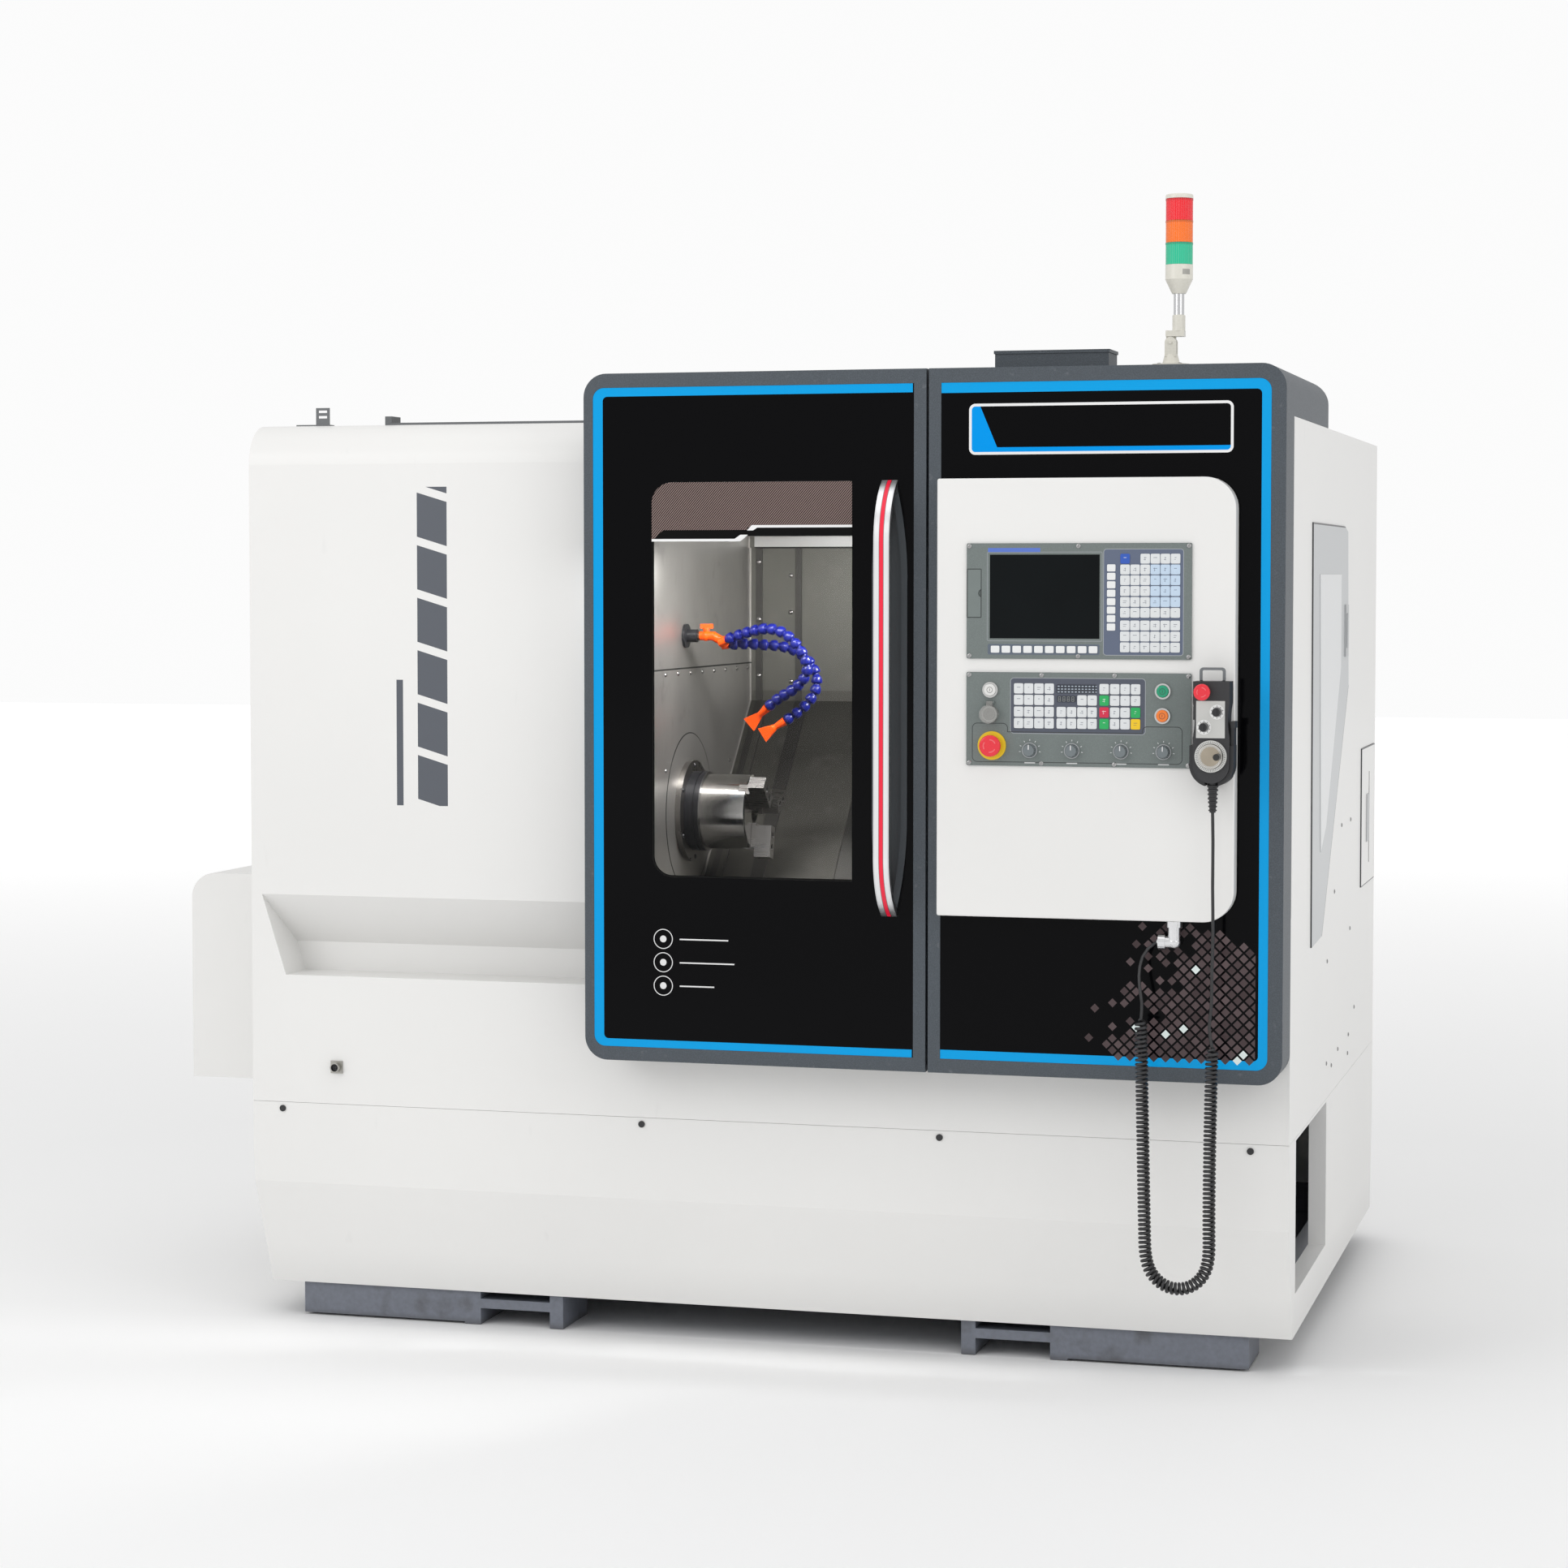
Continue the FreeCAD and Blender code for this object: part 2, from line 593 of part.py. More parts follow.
def service_door():
    y0, y1, z0, z1 = SERVICE_DOOR
    leaf = block(FRAME_W - LEAF_INSET, FRAME_W + LEAF_T - LEAF_INSET, y0, y1, z0, z1)
    tray = block(FRAME_W - 12, FRAME_W, 1474, 1498, 862, 1074)
    slot = block(FRAME_W - 9, FRAME_W + LEAF_T, 1478, 1494, 866, 1070)
    latch = block(FRAME_W + 1, FRAME_W + 5, 1424, 1462, 916, 1022)
    save("service_door", fuse(leaf, tray, latch).cut(slot))


def cabinet_door():
    x0, x1, z0, z1 = CABINET_DOOR
    leaf = block(x0, x1, REAR_Y - LEAF_INSET, REAR_Y + LEAF_T - LEAF_INSET, z0, z1)
    stiffener = block(x0 + 30, x1 - 30, REAR_Y - 10, REAR_Y, z0 + 30, z1 - 30)
    stiffener = stiffener.cut(block(x0 + 34, x1 - 34, REAR_Y - 12, REAR_Y - LEAF_INSET, z0 + 34, z1 - 34))
    handle = block(x0 + 25, x0 + 50, REAR_Y + 1, REAR_Y + REAR_REACH, 1040, 1180)
    save("cabinet_door", fuse(leaf, stiffener, handle))


def left_box():
    x0 = BODY_LEFT - LEFT_BOX_L
    x1 = BODY_LEFT - GAP

    def form(t):
        z1 = LEFT_BOX_TOP - t
        r = LEFT_BOX_ROUND - t
        y0 = LEFT_BOX_Y + t
        y1 = LEFT_BOX_Y + LEFT_BOX_D - t
        a = vec(x0 + t, y0, z1 - r)
        b = vec(x0 + t + r, y0, z1)
        arc = Part.Arc(a, vec(x0 + t + r * (1 - ROOT_HALF), y0, z1 - r * (1 - ROOT_HALF)), b).toShape()
        edge = x1 + (1 if t else 0)
        corners = [b, vec(edge, y0, z1), vec(edge, y0, SEAM_Z + t), vec(x0 + t, y0, SEAM_Z + t), a]
        lines = [Part.LineSegment(p, q).toShape() for p, q in zip(corners, corners[1:])]
        return Part.Face(Part.Wire([arc] + lines)).extrude(vec(0, y1 - y0, 0))

    save("left_box", form(0).cut(form(LINER_SHEET)))


def hood_shell():
    x0 = SPLIT_GAP
    t = SHEET
    ring = rounded(x0, FRAME_W, FRAME_BOTTOM, FRAME_TOP, 0, BODY_SETBACK - GAP, 0, CORNER_R)
    ring = ring.cut(rounded(x0 + t, FRAME_W - t, FRAME_BOTTOM + t, FRAME_TOP - t, t, BODY_SETBACK, 0,
                            CORNER_R - t))
    px0 = x0 + BORDER_SPLIT
    px1 = FRAME_W - BORDER_SIDE
    pz0 = FRAME_BOTTOM + BORDER_BOTTOM
    pz1 = FRAME_TOP - BORDER_TOP
    ring = ring.cut(rounded(px0, px1, pz0, pz1, -1, t + 1, 0, PANEL_R))
    seat = rounded(px0 - 12, px1 + 12, pz0 - 12, pz1 + 12, t - 0.1, t + 4, 0, PANEL_R)
    seat = seat.cut(rounded(px0 + 10, px1 - 10, pz0 + 10, pz1 - 10, t - 1, t + 5, 0, PANEL_R))

    def cap(inset, y0):
        high = FRAME_TOP - inset
        back = HOOD_D - inset
        r = HOOD_ROUND - inset
        a = vec(x0, HOOD_D - HOOD_ROUND, high)
        b = vec(x0, back, FRAME_TOP - HOOD_ROUND)
        centre_y = HOOD_D - HOOD_ROUND
        centre_z = FRAME_TOP - HOOD_ROUND
        arc = Part.Arc(a, vec(x0, centre_y + r * ROOT_HALF, centre_z + r * ROOT_HALF), b).toShape()
        low = SIDE_TOP + GAP - (1 if inset else 0)
        corners = [b, vec(x0, back, low), vec(x0, y0, low), vec(x0, y0, high), a]
        lines = [Part.LineSegment(p, q).toShape() for p, q in zip(corners, corners[1:])]
        form = Part.Face(Part.Wire([arc] + lines)).extrude(vec(FRAME_W - x0, 0, 0))
        side = rounded(x0 + inset, FRAME_W - inset, FRAME_BOTTOM, high, y0, back, 0, CORNER_R - inset)
        return form.common(side)

    top = cap(0, BODY_SETBACK - 2).cut(cap(t, BODY_SETBACK - 60))
    shell = fuse(ring, seat, top)
    bx0, bx1, by0, by1, high = TOP_BOX
    vent = block(bx0, bx1, by0, by1, FRAME_TOP - 1, FRAME_TOP + high)
    lid = block(bx0 - 2, bx1 + 2, by0 - 2, by1 + 2, FRAME_TOP + high - 6, FRAME_TOP + high)
    save("hood_shell", fuse(shell, vent, lid))


def frame_panel():
    back = PANEL_FRONT + PANEL_T
    panel = rounded(SPLIT_GAP + BORDER_SPLIT + GAP, FRAME_W - BORDER_SIDE - GAP,
                    FRAME_BOTTOM + BORDER_BOTTOM + GAP, FRAME_TOP - BORDER_TOP - GAP, PANEL_FRONT, back, 0,
                    PANEL_R - GAP)
    save("frame_panel", panel)


def control_pod():
    x0, x1 = POD_X, POD_X + POD_W
    z0, z1 = POD_Z, POD_Z + POD_H
    back = PANEL_FRONT - GAP
    t = POD_SHEET
    outer = rounded(x0, x1, z0, z1, -POD_D, back, 4, POD_R)
    front = [edge for edge in outer.Edges if edge.BoundBox.YMax < -POD_D + 0.01]
    outer = outer.makeFillet(2.5, front)
    pod = outer.cut(rounded(x0 + t, x1 - t, z0 + t, z1 - t, -POD_D + t, back + 1, 2, POD_R - t))
    for zlow, high in ((BEZEL_Z, BEZEL_H), (PANEL2_Z, PANEL2_H)):
        pod = pod.cut(block(BEZEL_X + 11, BEZEL_X + BEZEL_W - 11, -POD_D - 1, -POD_D + t + 1, zlow + 10,
                            zlow + high - 10))
    save("control_pod", pod)


# ---- screen and operator panel ----
def cnc_bezel():
    back = -POD_D - GAP
    face = back - PLATE_T
    plate = rounded(BEZEL_X, BEZEL_X + BEZEL_W, BEZEL_Z, BEZEL_Z + BEZEL_H, face, back, 3, 3)
    box = block(BEZEL_X + 12, BEZEL_X + BEZEL_W - 12, back - 0.1, -8, BEZEL_Z + 11, BEZEL_Z + BEZEL_H - 11)
    solid = fuse(plate, box)
    solid = solid.cut(block(SCREEN_X, SCREEN_X + SCREEN_W, face - 1, face + 2.5, SCREEN_Z,
                            SCREEN_Z + SCREEN_H))
    solid = solid.cut(block(FLAP_X - 0.8, FLAP_X + FLAP_W + 0.6, face - 1, face + FLAP_T + 0.8, FLAP_Z - 0.6,
                            FLAP_Z + FLAP_H + 0.6))
    save("cnc_bezel", solid)
    glass = block(SCREEN_X + GAP, SCREEN_X + SCREEN_W - GAP, face + 0.5, face + 2.2, SCREEN_Z + GAP,
                  SCREEN_Z + SCREEN_H - GAP)
    save("cnc_screen", glass)
    flap = block(FLAP_X, FLAP_X + FLAP_W, face + 0.1, face + 0.1 + FLAP_T, FLAP_Z, FLAP_Z + FLAP_H)
    notch_x = FLAP_X + FLAP_W + 3
    notch_z = FLAP_Z + FLAP_H / 2
    notch = rod((notch_x, face - 1, notch_z), (notch_x, face + 5, notch_z), 8)
    save("port_flap", flap.cut(notch))


def push_button(name, at, dome):
    """Round button head on a stem, with a slightly domed or flat front."""
    x, z = at
    face = -POD_D - GAP - PLATE_T
    head = rod((x, face - BUTTON_HEAD - 1, z), (x, face - 1, z), BUTTON_R)
    if dome:
        head = head.makeFillet(2.0, [e for e in head.Edges if e.BoundBox.YMax < face - BUTTON_HEAD - 0.5])
    stem = rod((x, face - 1.1, z), (x, face + 9, z), BUTTON_STEM_R)
    save(name, fuse(head, stem))


def operator_panel():
    back = -POD_D - GAP
    face = back - PLATE_T
    plate = rounded(BEZEL_X, BEZEL_X + BEZEL_W, PANEL2_Z, PANEL2_Z + PANEL2_H, face, back, 3, 3)
    box = block(BEZEL_X + 12, BEZEL_X + BEZEL_W - 12, back - 0.1, -14, PANEL2_Z + 11,
                PANEL2_Z + PANEL2_H - 11)
    solid = fuse(plate, box)
    for x, z in (POWER_AT, GUARD_AT, START_AT, HOLD_AT):
        solid = solid.fuse(pipe((x, face - 4, z), (x, face + 0.1, z), BUTTON_RING_R, BUTTON_R + GAP))
        solid = solid.cut(rod((x, face - 0.2, z), (x, face + 3.5, z), BUTTON_R + GAP))
        solid = solid.cut(rod((x, face, z), (x, face + 16, z), BUTTON_STEM_R + GAP))
    x, z = GUARD_AT
    hinge_z = z + GUARD_HINGE
    for ear in (x - 9, x + 6 + GAP):
        solid = solid.fuse(block(ear, ear + 3 - GAP, face - 5, face + 0.1, hinge_z - 2.3, hinge_z + 2.3))
    solid = solid.fuse(rod((x - 9, face - 2.7, hinge_z), (x + 9, face - 2.7, hinge_z), 1))
    x, z = ESTOP_AT
    solid = solid.fuse(pipe((x, face - 4, z), (x, face + 0.1, z), ESTOP_COLLAR_R, 13.8))
    solid = solid.cut(rod((x, face - 1, z), (x, face + 12, z), 13.8))
    for x in KNOB_XS:
        solid = solid.cut(rod((x, face - 1, KNOB_Z), (x, face + 12, KNOB_Z), 4 + FIT))
    save("operator_panel", solid.removeSplitter())
    for name, at in (("power_button", POWER_AT), ("guard_button", GUARD_AT), ("start_button", START_AT),
                     ("hold_button", HOLD_AT)):
        push_button(name, at, name != "guard_button")
    x, z = ESTOP_AT
    neck = rod((x, face - 12, z), (x, face + 7, z), 13.5)
    head = rod((x, face - 24, z), (x, face - 12, z), ESTOP_R)
    head = head.makeFillet(3.5, head.Edges[:1] + head.Edges[-1:])
    save("estop_head", fuse(neck, head))
    for number, x in enumerate(KNOB_XS):
        shaft = rod((x, face - 1.5, KNOB_Z), (x, face + 10, KNOB_Z), 4)
        skirt = rod((x, face - 3, KNOB_Z), (x, face - 0.4, KNOB_Z), KNOB_R + 2)
        grip = cone((x, face - KNOB_H, KNOB_Z), (x, face - 2.9, KNOB_Z), KNOB_R - 2, KNOB_R)
        mark = block(x - 0.8, x + 0.8, face - KNOB_H - 0.6, face - KNOB_H + 1, KNOB_Z + 2,
                     KNOB_Z + KNOB_R - 3)
        save(f"dial_knob_{number + 1}", fuse(shaft, skirt, grip, mark))


def guard_cover():
    """Clear cap over the guarded button, hinged at its top."""
    x, z = GUARD_AT
    face = -POD_D - GAP - PLATE_T
    shell = pipe((x, face - GUARD_H, z), (x, face - 0.4, z), GUARD_R, GUARD_R - 1.5)
    lid = rod((x, face - GUARD_H - 2, z), (x, face - GUARD_H + 0.1, z), GUARD_R)
    hinge_y = face - 2.7
    hinge_z = z + GUARD_HINGE
    lug = fuse(block(x - 6, x + 6, face - 5, face - 0.4, z + GUARD_R - 1, hinge_z),
               rod((x - 6, hinge_y, hinge_z), (x + 6, hinge_y, hinge_z), 2.3))
    lug = lug.cut(rod((x - 7, hinge_y, hinge_z), (x + 7, hinge_y, hinge_z), 1 + FIT))
    save("guard_cover", fuse(shell, lid, lug))


# ---- hand pendant, cradle and cord ----
def pendant():
    half = PENDANT_W / 2
    y0 = PENDANT_FRONT
    y1 = y0 + PENDANT_D
    x = PENDANT_X
    low_z = PENDANT_BOTTOM + half
    body = fuse(block(x - half, x + half, y0, y1, low_z, PENDANT_TOP),
                rod((x, y0, low_z), (x, y1, low_z), half))
    waist = [rod((x + side * (half + 157), y0 - 1, 1246), (x + side * (half + 157), y1 + 1, 1246), 160)
             for side in (-1, 1)]
    for tool in waist:
        body = body.cut(tool)
    relief = cone((x, CORD_Y, RELIEF_BOTTOM), (x, CORD_Y, PENDANT_BOTTOM + 6), 5.5, 9)
    relief = relief.cut(rod((x, CORD_Y, RELIEF_BOTTOM - 1), (x, CORD_Y, RELIEF_BOTTOM), CORD_D / 2))
    plate = block(x - half + 6, x + half - 8, y0 - 1.2, y0 + 0.1, 1214, 1281)
    wx, wz = PENDANT_WHEEL
    ring = pipe((wx, y0 - 5, wz), (wx, y0 + 0.1, wz), WHEEL_RING_R, WHEEL_R + 1)
    loop_z = PENDANT_TOP + LOOP_H
    loop = rounded(x - LOOP_W / 2, x + LOOP_W / 2, PENDANT_TOP - 3, loop_z, y0 + 14, y0 + 19, 7, 7)
    loop = loop.cut(rounded(x - LOOP_W / 2 + LOOP_WIRE, x + LOOP_W / 2 - LOOP_WIRE, PENDANT_TOP,
                            loop_z - LOOP_WIRE, y0 + 13, y0 + 20, 3, 3))
    solid = fuse(body, relief, plate, ring, loop)
    ex, ez = PENDANT_ESTOP
    solid = solid.cut(rod((ex, y0 - 2, ez), (ex, y0 + 12, ez), 8.3))
    for kx, kz in PENDANT_KNOBS:
        solid = solid.cut(rod((kx, y0 - 2, kz), (kx, y0 + 12, kz), 3 + FIT))
    solid = solid.cut(rod((wx, y0 - 2, wz), (wx, y0 + 14, wz), 5 + FIT))
    ax = x - half
    solid = solid.cut(block(ax - 2, ax + 12, y0 + 16, y0 + 30, 1244, 1272))
    save("pendant_body", solid)
    cap = rod((ex, y0 - 20, ez), (ex, y0 - 11, ez), 15)
    cap = cap.makeFillet(2.5, cap.Edges[:1] + cap.Edges[-1:])
    save("pendant_estop", fuse(cap, rod((ex, y0 - 11.1, ez), (ex, y0 + 8, ez), 8)))
    for number, (kx, kz) in enumerate(PENDANT_KNOBS):
        grip = cone((kx, y0 - 15, kz), (kx, y0 - 1.6, kz), 7.5, 8.8)
        wing = block(kx - 1.5, kx + 1.5, y0 - 17, y0 - 14.5, kz - 6.5, kz + 6.5)
        save(f"pendant_knob_{number + 1}", fuse(grip, wing, rod((kx, y0 - 2, kz), (kx, y0 + 10, kz), 3)))
    disc = rod((wx, y0 - 9, wz), (wx, y0 - 1.5, wz), WHEEL_R)
    crank = rod((wx + 14, y0 - (FRONT_REACH + PENDANT_FRONT), wz), (wx + 14, y0 - 8.9, wz), 6)
    save("pendant_handwheel", fuse(disc, crank, rod((wx, y0 - 2, wz), (wx, y0 + 12, wz), 5)))
    key = block(ax + 0.5, ax + 8, y0 + 16.3, y0 + 29.7, 1244.3, 1271.7)
    save("pendant_enable", key.fuse(block(ax - 2.2, ax + 1, y0 + 17.5, y0 + 28.5, 1246, 1270)))


def pendant_cradle():
    """U-shaped holder screwed to the pod, with a backplate and a clip arm on the right."""
    half = PENDANT_W / 2
    x = PENDANT_X
    low_z = PENDANT_BOTTOM + half
    y0 = PENDANT_FRONT + 6
    y1 = PENDANT_FRONT + PENDANT_D + GAP
    wall = CRADLE_WALL
    outer = fuse(block(x - half - wall, x + half + wall, y0, y1, low_z, CRADLE_TOP),
                 rod((x, y0, low_z), (x, y1, low_z), half + wall))
    outer = outer.common(block(x - 100, x + 100, y0, y1, 0, CRADLE_TOP))
    inner = fuse(block(x - half - GAP, x + half + GAP, y0 - 1, y1 + 1, low_z, CRADLE_TOP + 1),
                 rod((x, y0 - 1, low_z), (x, y1 + 1, low_z), half + GAP))
    band = outer.cut(inner)
    band = band.cut(block(x - 12, x + 12, y0 - 1, y1 - 8, PENDANT_BOTTOM - 30, PENDANT_BOTTOM + 12))
    back = fuse(block(x - half - wall, x + half + wall, y1 - 0.1, -POD_D - GAP, low_z, CRADLE_TOP),
                rod((x, y1 - 0.1, low_z), (x, -POD_D - GAP, low_z), half + wall))
    back = back.common(block(x - half - wall, POD_X + POD_W - 2, y1 - 1, 0, 0, CRADLE_TOP))
    arm = block(x + half + 1.5, x + half + wall, y0 + 4, y1 - 6, CRADLE_TOP - 1, 1244)
    tooth = block(x + half + 1.2, x + half + wall + 2, y0 + 2, y1 - 6, 1232, 1244)
    save("pendant_cradle", fuse(band, back, arm, tooth))


def cord():
    save("cord_lead", route_tube("cord_lead", LEAD_POINTS, CORD_D / 2))
    save("cord_coil", route_tube("cord_coil", COIL_POINTS, COIL_D / 2))
    save("cord_tail", route_tube("cord_tail", TAIL_POINTS, CORD_D / 2))
    x, y, z = ELBOW_X, ELBOW_Y, ELBOW_Z
    top = POD_Z - GAP
    drop = rod((x, y, z), (x, y, top), ELBOW_R)
    nut = rod((x, y, top - 11), (x, y, top), ELBOW_R + 3)
    bend = Part.makeSphere(ELBOW_R + 0.5, vec(x, y, z))
    end = TAIL_POINTS[-1]
    arm = rod((x, y, z), (end[0] + 6, end[1], end[2]), ELBOW_R - 1)
    flange = rod((end[0] + 3, end[1], end[2]), (end[0] + 16, end[1], end[2]), ELBOW_R + 2)
    nose = cone((end[0], end[1], end[2]), (end[0] + 5, end[1], end[2]), 5.5, 8.5)
    save("cord_elbow", fuse(drop, nut, bend, arm, flange, nose))


# ---- signal tower ----
def signal_tower():
    foot_x = TOWER_X - TOWER_OFFSET
    y = TOWER_Y
    base = FRAME_TOP + GAP
    flange = rod((foot_x, y, base), (foot_x, y, base + 6), TOWER_FLANGE_R)
    post = cone((foot_x, y, base + 5), (foot_x, y, base + 24), 17, 12)
    lugs = []
    for edge in (y - 11.5, y + 4.5):
        lugs.append(block(foot_x - 10.5, foot_x + 10.5, edge, edge + 7, base + 20, TOWER_PIVOT_Z))
        lugs.append(rod((foot_x, edge, TOWER_PIVOT_Z), (foot_x, edge + 7, TOWER_PIVOT_Z), 10.5))
    pin = rod((foot_x, y - 14, TOWER_PIVOT_Z), (foot_x, y + 14, TOWER_PIVOT_Z), 3)
    save("tower_mount", fuse(flange, post, *lugs, pin))
    tongue = block(foot_x - 9, foot_x + 9, y - 4.2, y + 4.2, TOWER_PIVOT_Z - 10, TOWER_PIVOT_Z + 16)
    yoke = block(foot_x - 9, TOWER_X + 11, y - 11, y + 11, TOWER_PIVOT_Z + 11, TOWER_PIVOT_Z + 22)
    socket = rod((TOWER_X, y, TOWER_PIVOT_Z + 21), (TOWER_X, y, TOWER_PIVOT_Z + 50), 12)
    pole = rod((TOWER_X, y, TOWER_PIVOT_Z + 40), (TOWER_X, y, TOWER_NECK_Z + 6), TOWER_POLE_R)
    neck = cone((TOWER_X, y, TOWER_NECK_Z), (TOWER_X, y, TOWER_BASE_Z), 13, TOWER_R)
    head = rod((TOWER_X, y, TOWER_BASE_Z), (TOWER_X, y, TOWER_LENS_Z), TOWER_R)
    core = rod((TOWER_X, y, TOWER_LENS_Z - 1), (TOWER_X, y, TOWER_LENS_Z + 3 * LENS_H + GAP), 8)
    cap_z = TOWER_LENS_Z + 3 * LENS_H + GAP
    cap = rod((TOWER_X, y, cap_z), (TOWER_X, y, cap_z + TOWER_CAP_H), TOWER_R)
    cap = cap.makeFillet(3, [e for e in cap.Edges if e.BoundBox.ZMin > cap_z + TOWER_CAP_H - 0.1])
    solid = fuse(tongue, yoke, socket, pole, neck, head, core, cap)
    solid = solid.cut(rod((foot_x, y - 6, TOWER_PIVOT_Z), (foot_x, y + 6, TOWER_PIVOT_Z), 3 + FIT))
    save("tower_head", solid)
    lenses = []
    for number in range(3):
        z0 = TOWER_LENS_Z + number * LENS_H + GAP
        z1 = z0 + LENS_H - GAP
        lens = fuse(pipe((TOWER_X, y, z0), (TOWER_X, y, z1 - 3), TOWER_R - 0.5, TOWER_R - 3),
                    pipe((TOWER_X, y, z1 - 3.5), (TOWER_X, y, z1), TOWER_R, TOWER_R - 3),
                    pipe((TOWER_X, y, z0), (TOWER_X, y, z0 + 1.5), TOWER_R - 0.5, 8 + GAP))
        lenses.append(lens)
    save("tower_lenses", Part.makeCompound(lenses))


# ---- door ----
def bow(x0, x1, reach, thick, z0, z1):
    """Bowed strip in the yz plane: a straight middle with an eased curve at each end."""
    seat = -GAP
    bend = HANDLE_BEND

    def line(depth, end):
        edges = []
        a = vec(x0, seat, z0 + end)
        b = vec(x0, -depth, z0 + bend)
        c = vec(x0, -depth, z1 - bend)
        d = vec(x0, seat, z1 - end)
        m1 = vec(x0, seat - 0.72 * (depth + seat), z0 + end + 0.42 * (bend - end))
        m2 = vec(x0, seat - 0.72 * (depth + seat), z1 - end - 0.42 * (bend - end))
        edges.append(Part.Arc(a, m1, b).toShape())
        edges.append(Part.LineSegment(b, c).toShape())
        edges.append(Part.Arc(c, m2, d).toShape())
        return edges, a, d

    outer, a0, d0 = line(reach, 0)
    inner, a1, d1 = line(reach - thick, thick * 1.6)
    low = Part.LineSegment(a1, a0).toShape()
    high = Part.LineSegment(d0, d1).toShape()
    wire = Part.Wire(Part.__sortEdges__(outer + inner + [low, high]))
    return Part.Face(wire).extrude(vec(x1 - x0, 0, 0))


def lens_plate(half, end, z0, z1, y0, y1):
    """Tall outline in the xz plane around the handle: straight sides that curve in at both ends."""
    x = HANDLE_X
    bend = POCKET_BEND
    middle = end + 0.72 * (half - end)
    up = 0.42 * bend
    edges = []
    for s in (1, -1):
        low = vec(x + s * end, y0, z0)
        side0 = vec(x + s * half, y0, z0 + bend)
        side1 = vec(x + s * half, y0, z1 - bend)
        high = vec(x + s * end, y0, z1)
        edges.append(Part.Arc(low, vec(x + s * middle, y0, z0 + up), side0).toShape())
        edges.append(Part.LineSegment(side0, side1).toShape())
        edges.append(Part.Arc(side1, vec(x + s * middle, y0, z1 - up), high).toShape())
    edges.append(Part.LineSegment(vec(x + end, y0, z0), vec(x - end, y0, z0)).toShape())
    edges.append(Part.LineSegment(vec(x + end, y0, z1), vec(x - end, y0, z1)).toShape())
    wire = Part.Wire(Part.__sortEdges__(edges))
    return Part.Face(wire).extrude(vec(0, y1 - y0, 0))


def door_frame():
    x0, x1 = DOOR_X0, -SPLIT_GAP
    t = SHEET
    ring = rounded(x0, x1, FRAME_BOTTOM, FRAME_TOP, 0, DOOR_D, CORNER_R, 0)
    ring = ring.cut(rounded(x0 + t, x1 - t, FRAME_BOTTOM + t, FRAME_TOP - t, t, DOOR_D + 1, CORNER_R - t, 0))
    px0, px1 = x0 + DOOR_BORDER, x1 - BORDER_SPLIT
    pz0, pz1 = FRAME_BOTTOM + BORDER_BOTTOM, FRAME_TOP - BORDER_TOP
    ring = ring.cut(rounded(px0, px1, pz0, pz1, -1, t + 1, PANEL_R, 0))
    seat = rounded(px0 - 10, px1 + 10, pz0 - 12, pz1 + 12, t - 0.1, t + 4, PANEL_R, 0)
    seat = seat.cut(rounded(px0 + 10, px1 - 6, pz0 + 10, pz1 - 10, t - 1, t + 5, PANEL_R, 0))
    hangers = []
    for hx in (-570.0, -110.0):
        arm = block(hx, hx + 40, DOOR_D - 12, RAIL_Y + 8, 1850, 1854)
        drop = block(hx, hx + 40, DOOR_D - 12, DOOR_D - 8, 1850, FRAME_TOP - 1)
        shoe = block(hx, hx + 40, RAIL_Y - 8, RAIL_Y + 8, COVER_TOP + 5 + 2 * GAP, 1850.1)
        hangers += [arm, drop, shoe]
    stiff = block(x0 + 10, x1 - 10, DOOR_D - 8, DOOR_D, 640, 648)
    ties = [block(x0 + 10 + a, x0 + 16 + a, DOOR_D - 8, DOOR_D, FRAME_BOTTOM + 2, 648)
            for a in (0, DOOR_W - 26)]
    save("door_frame", fuse(ring, seat, *hangers, stiff, *ties))


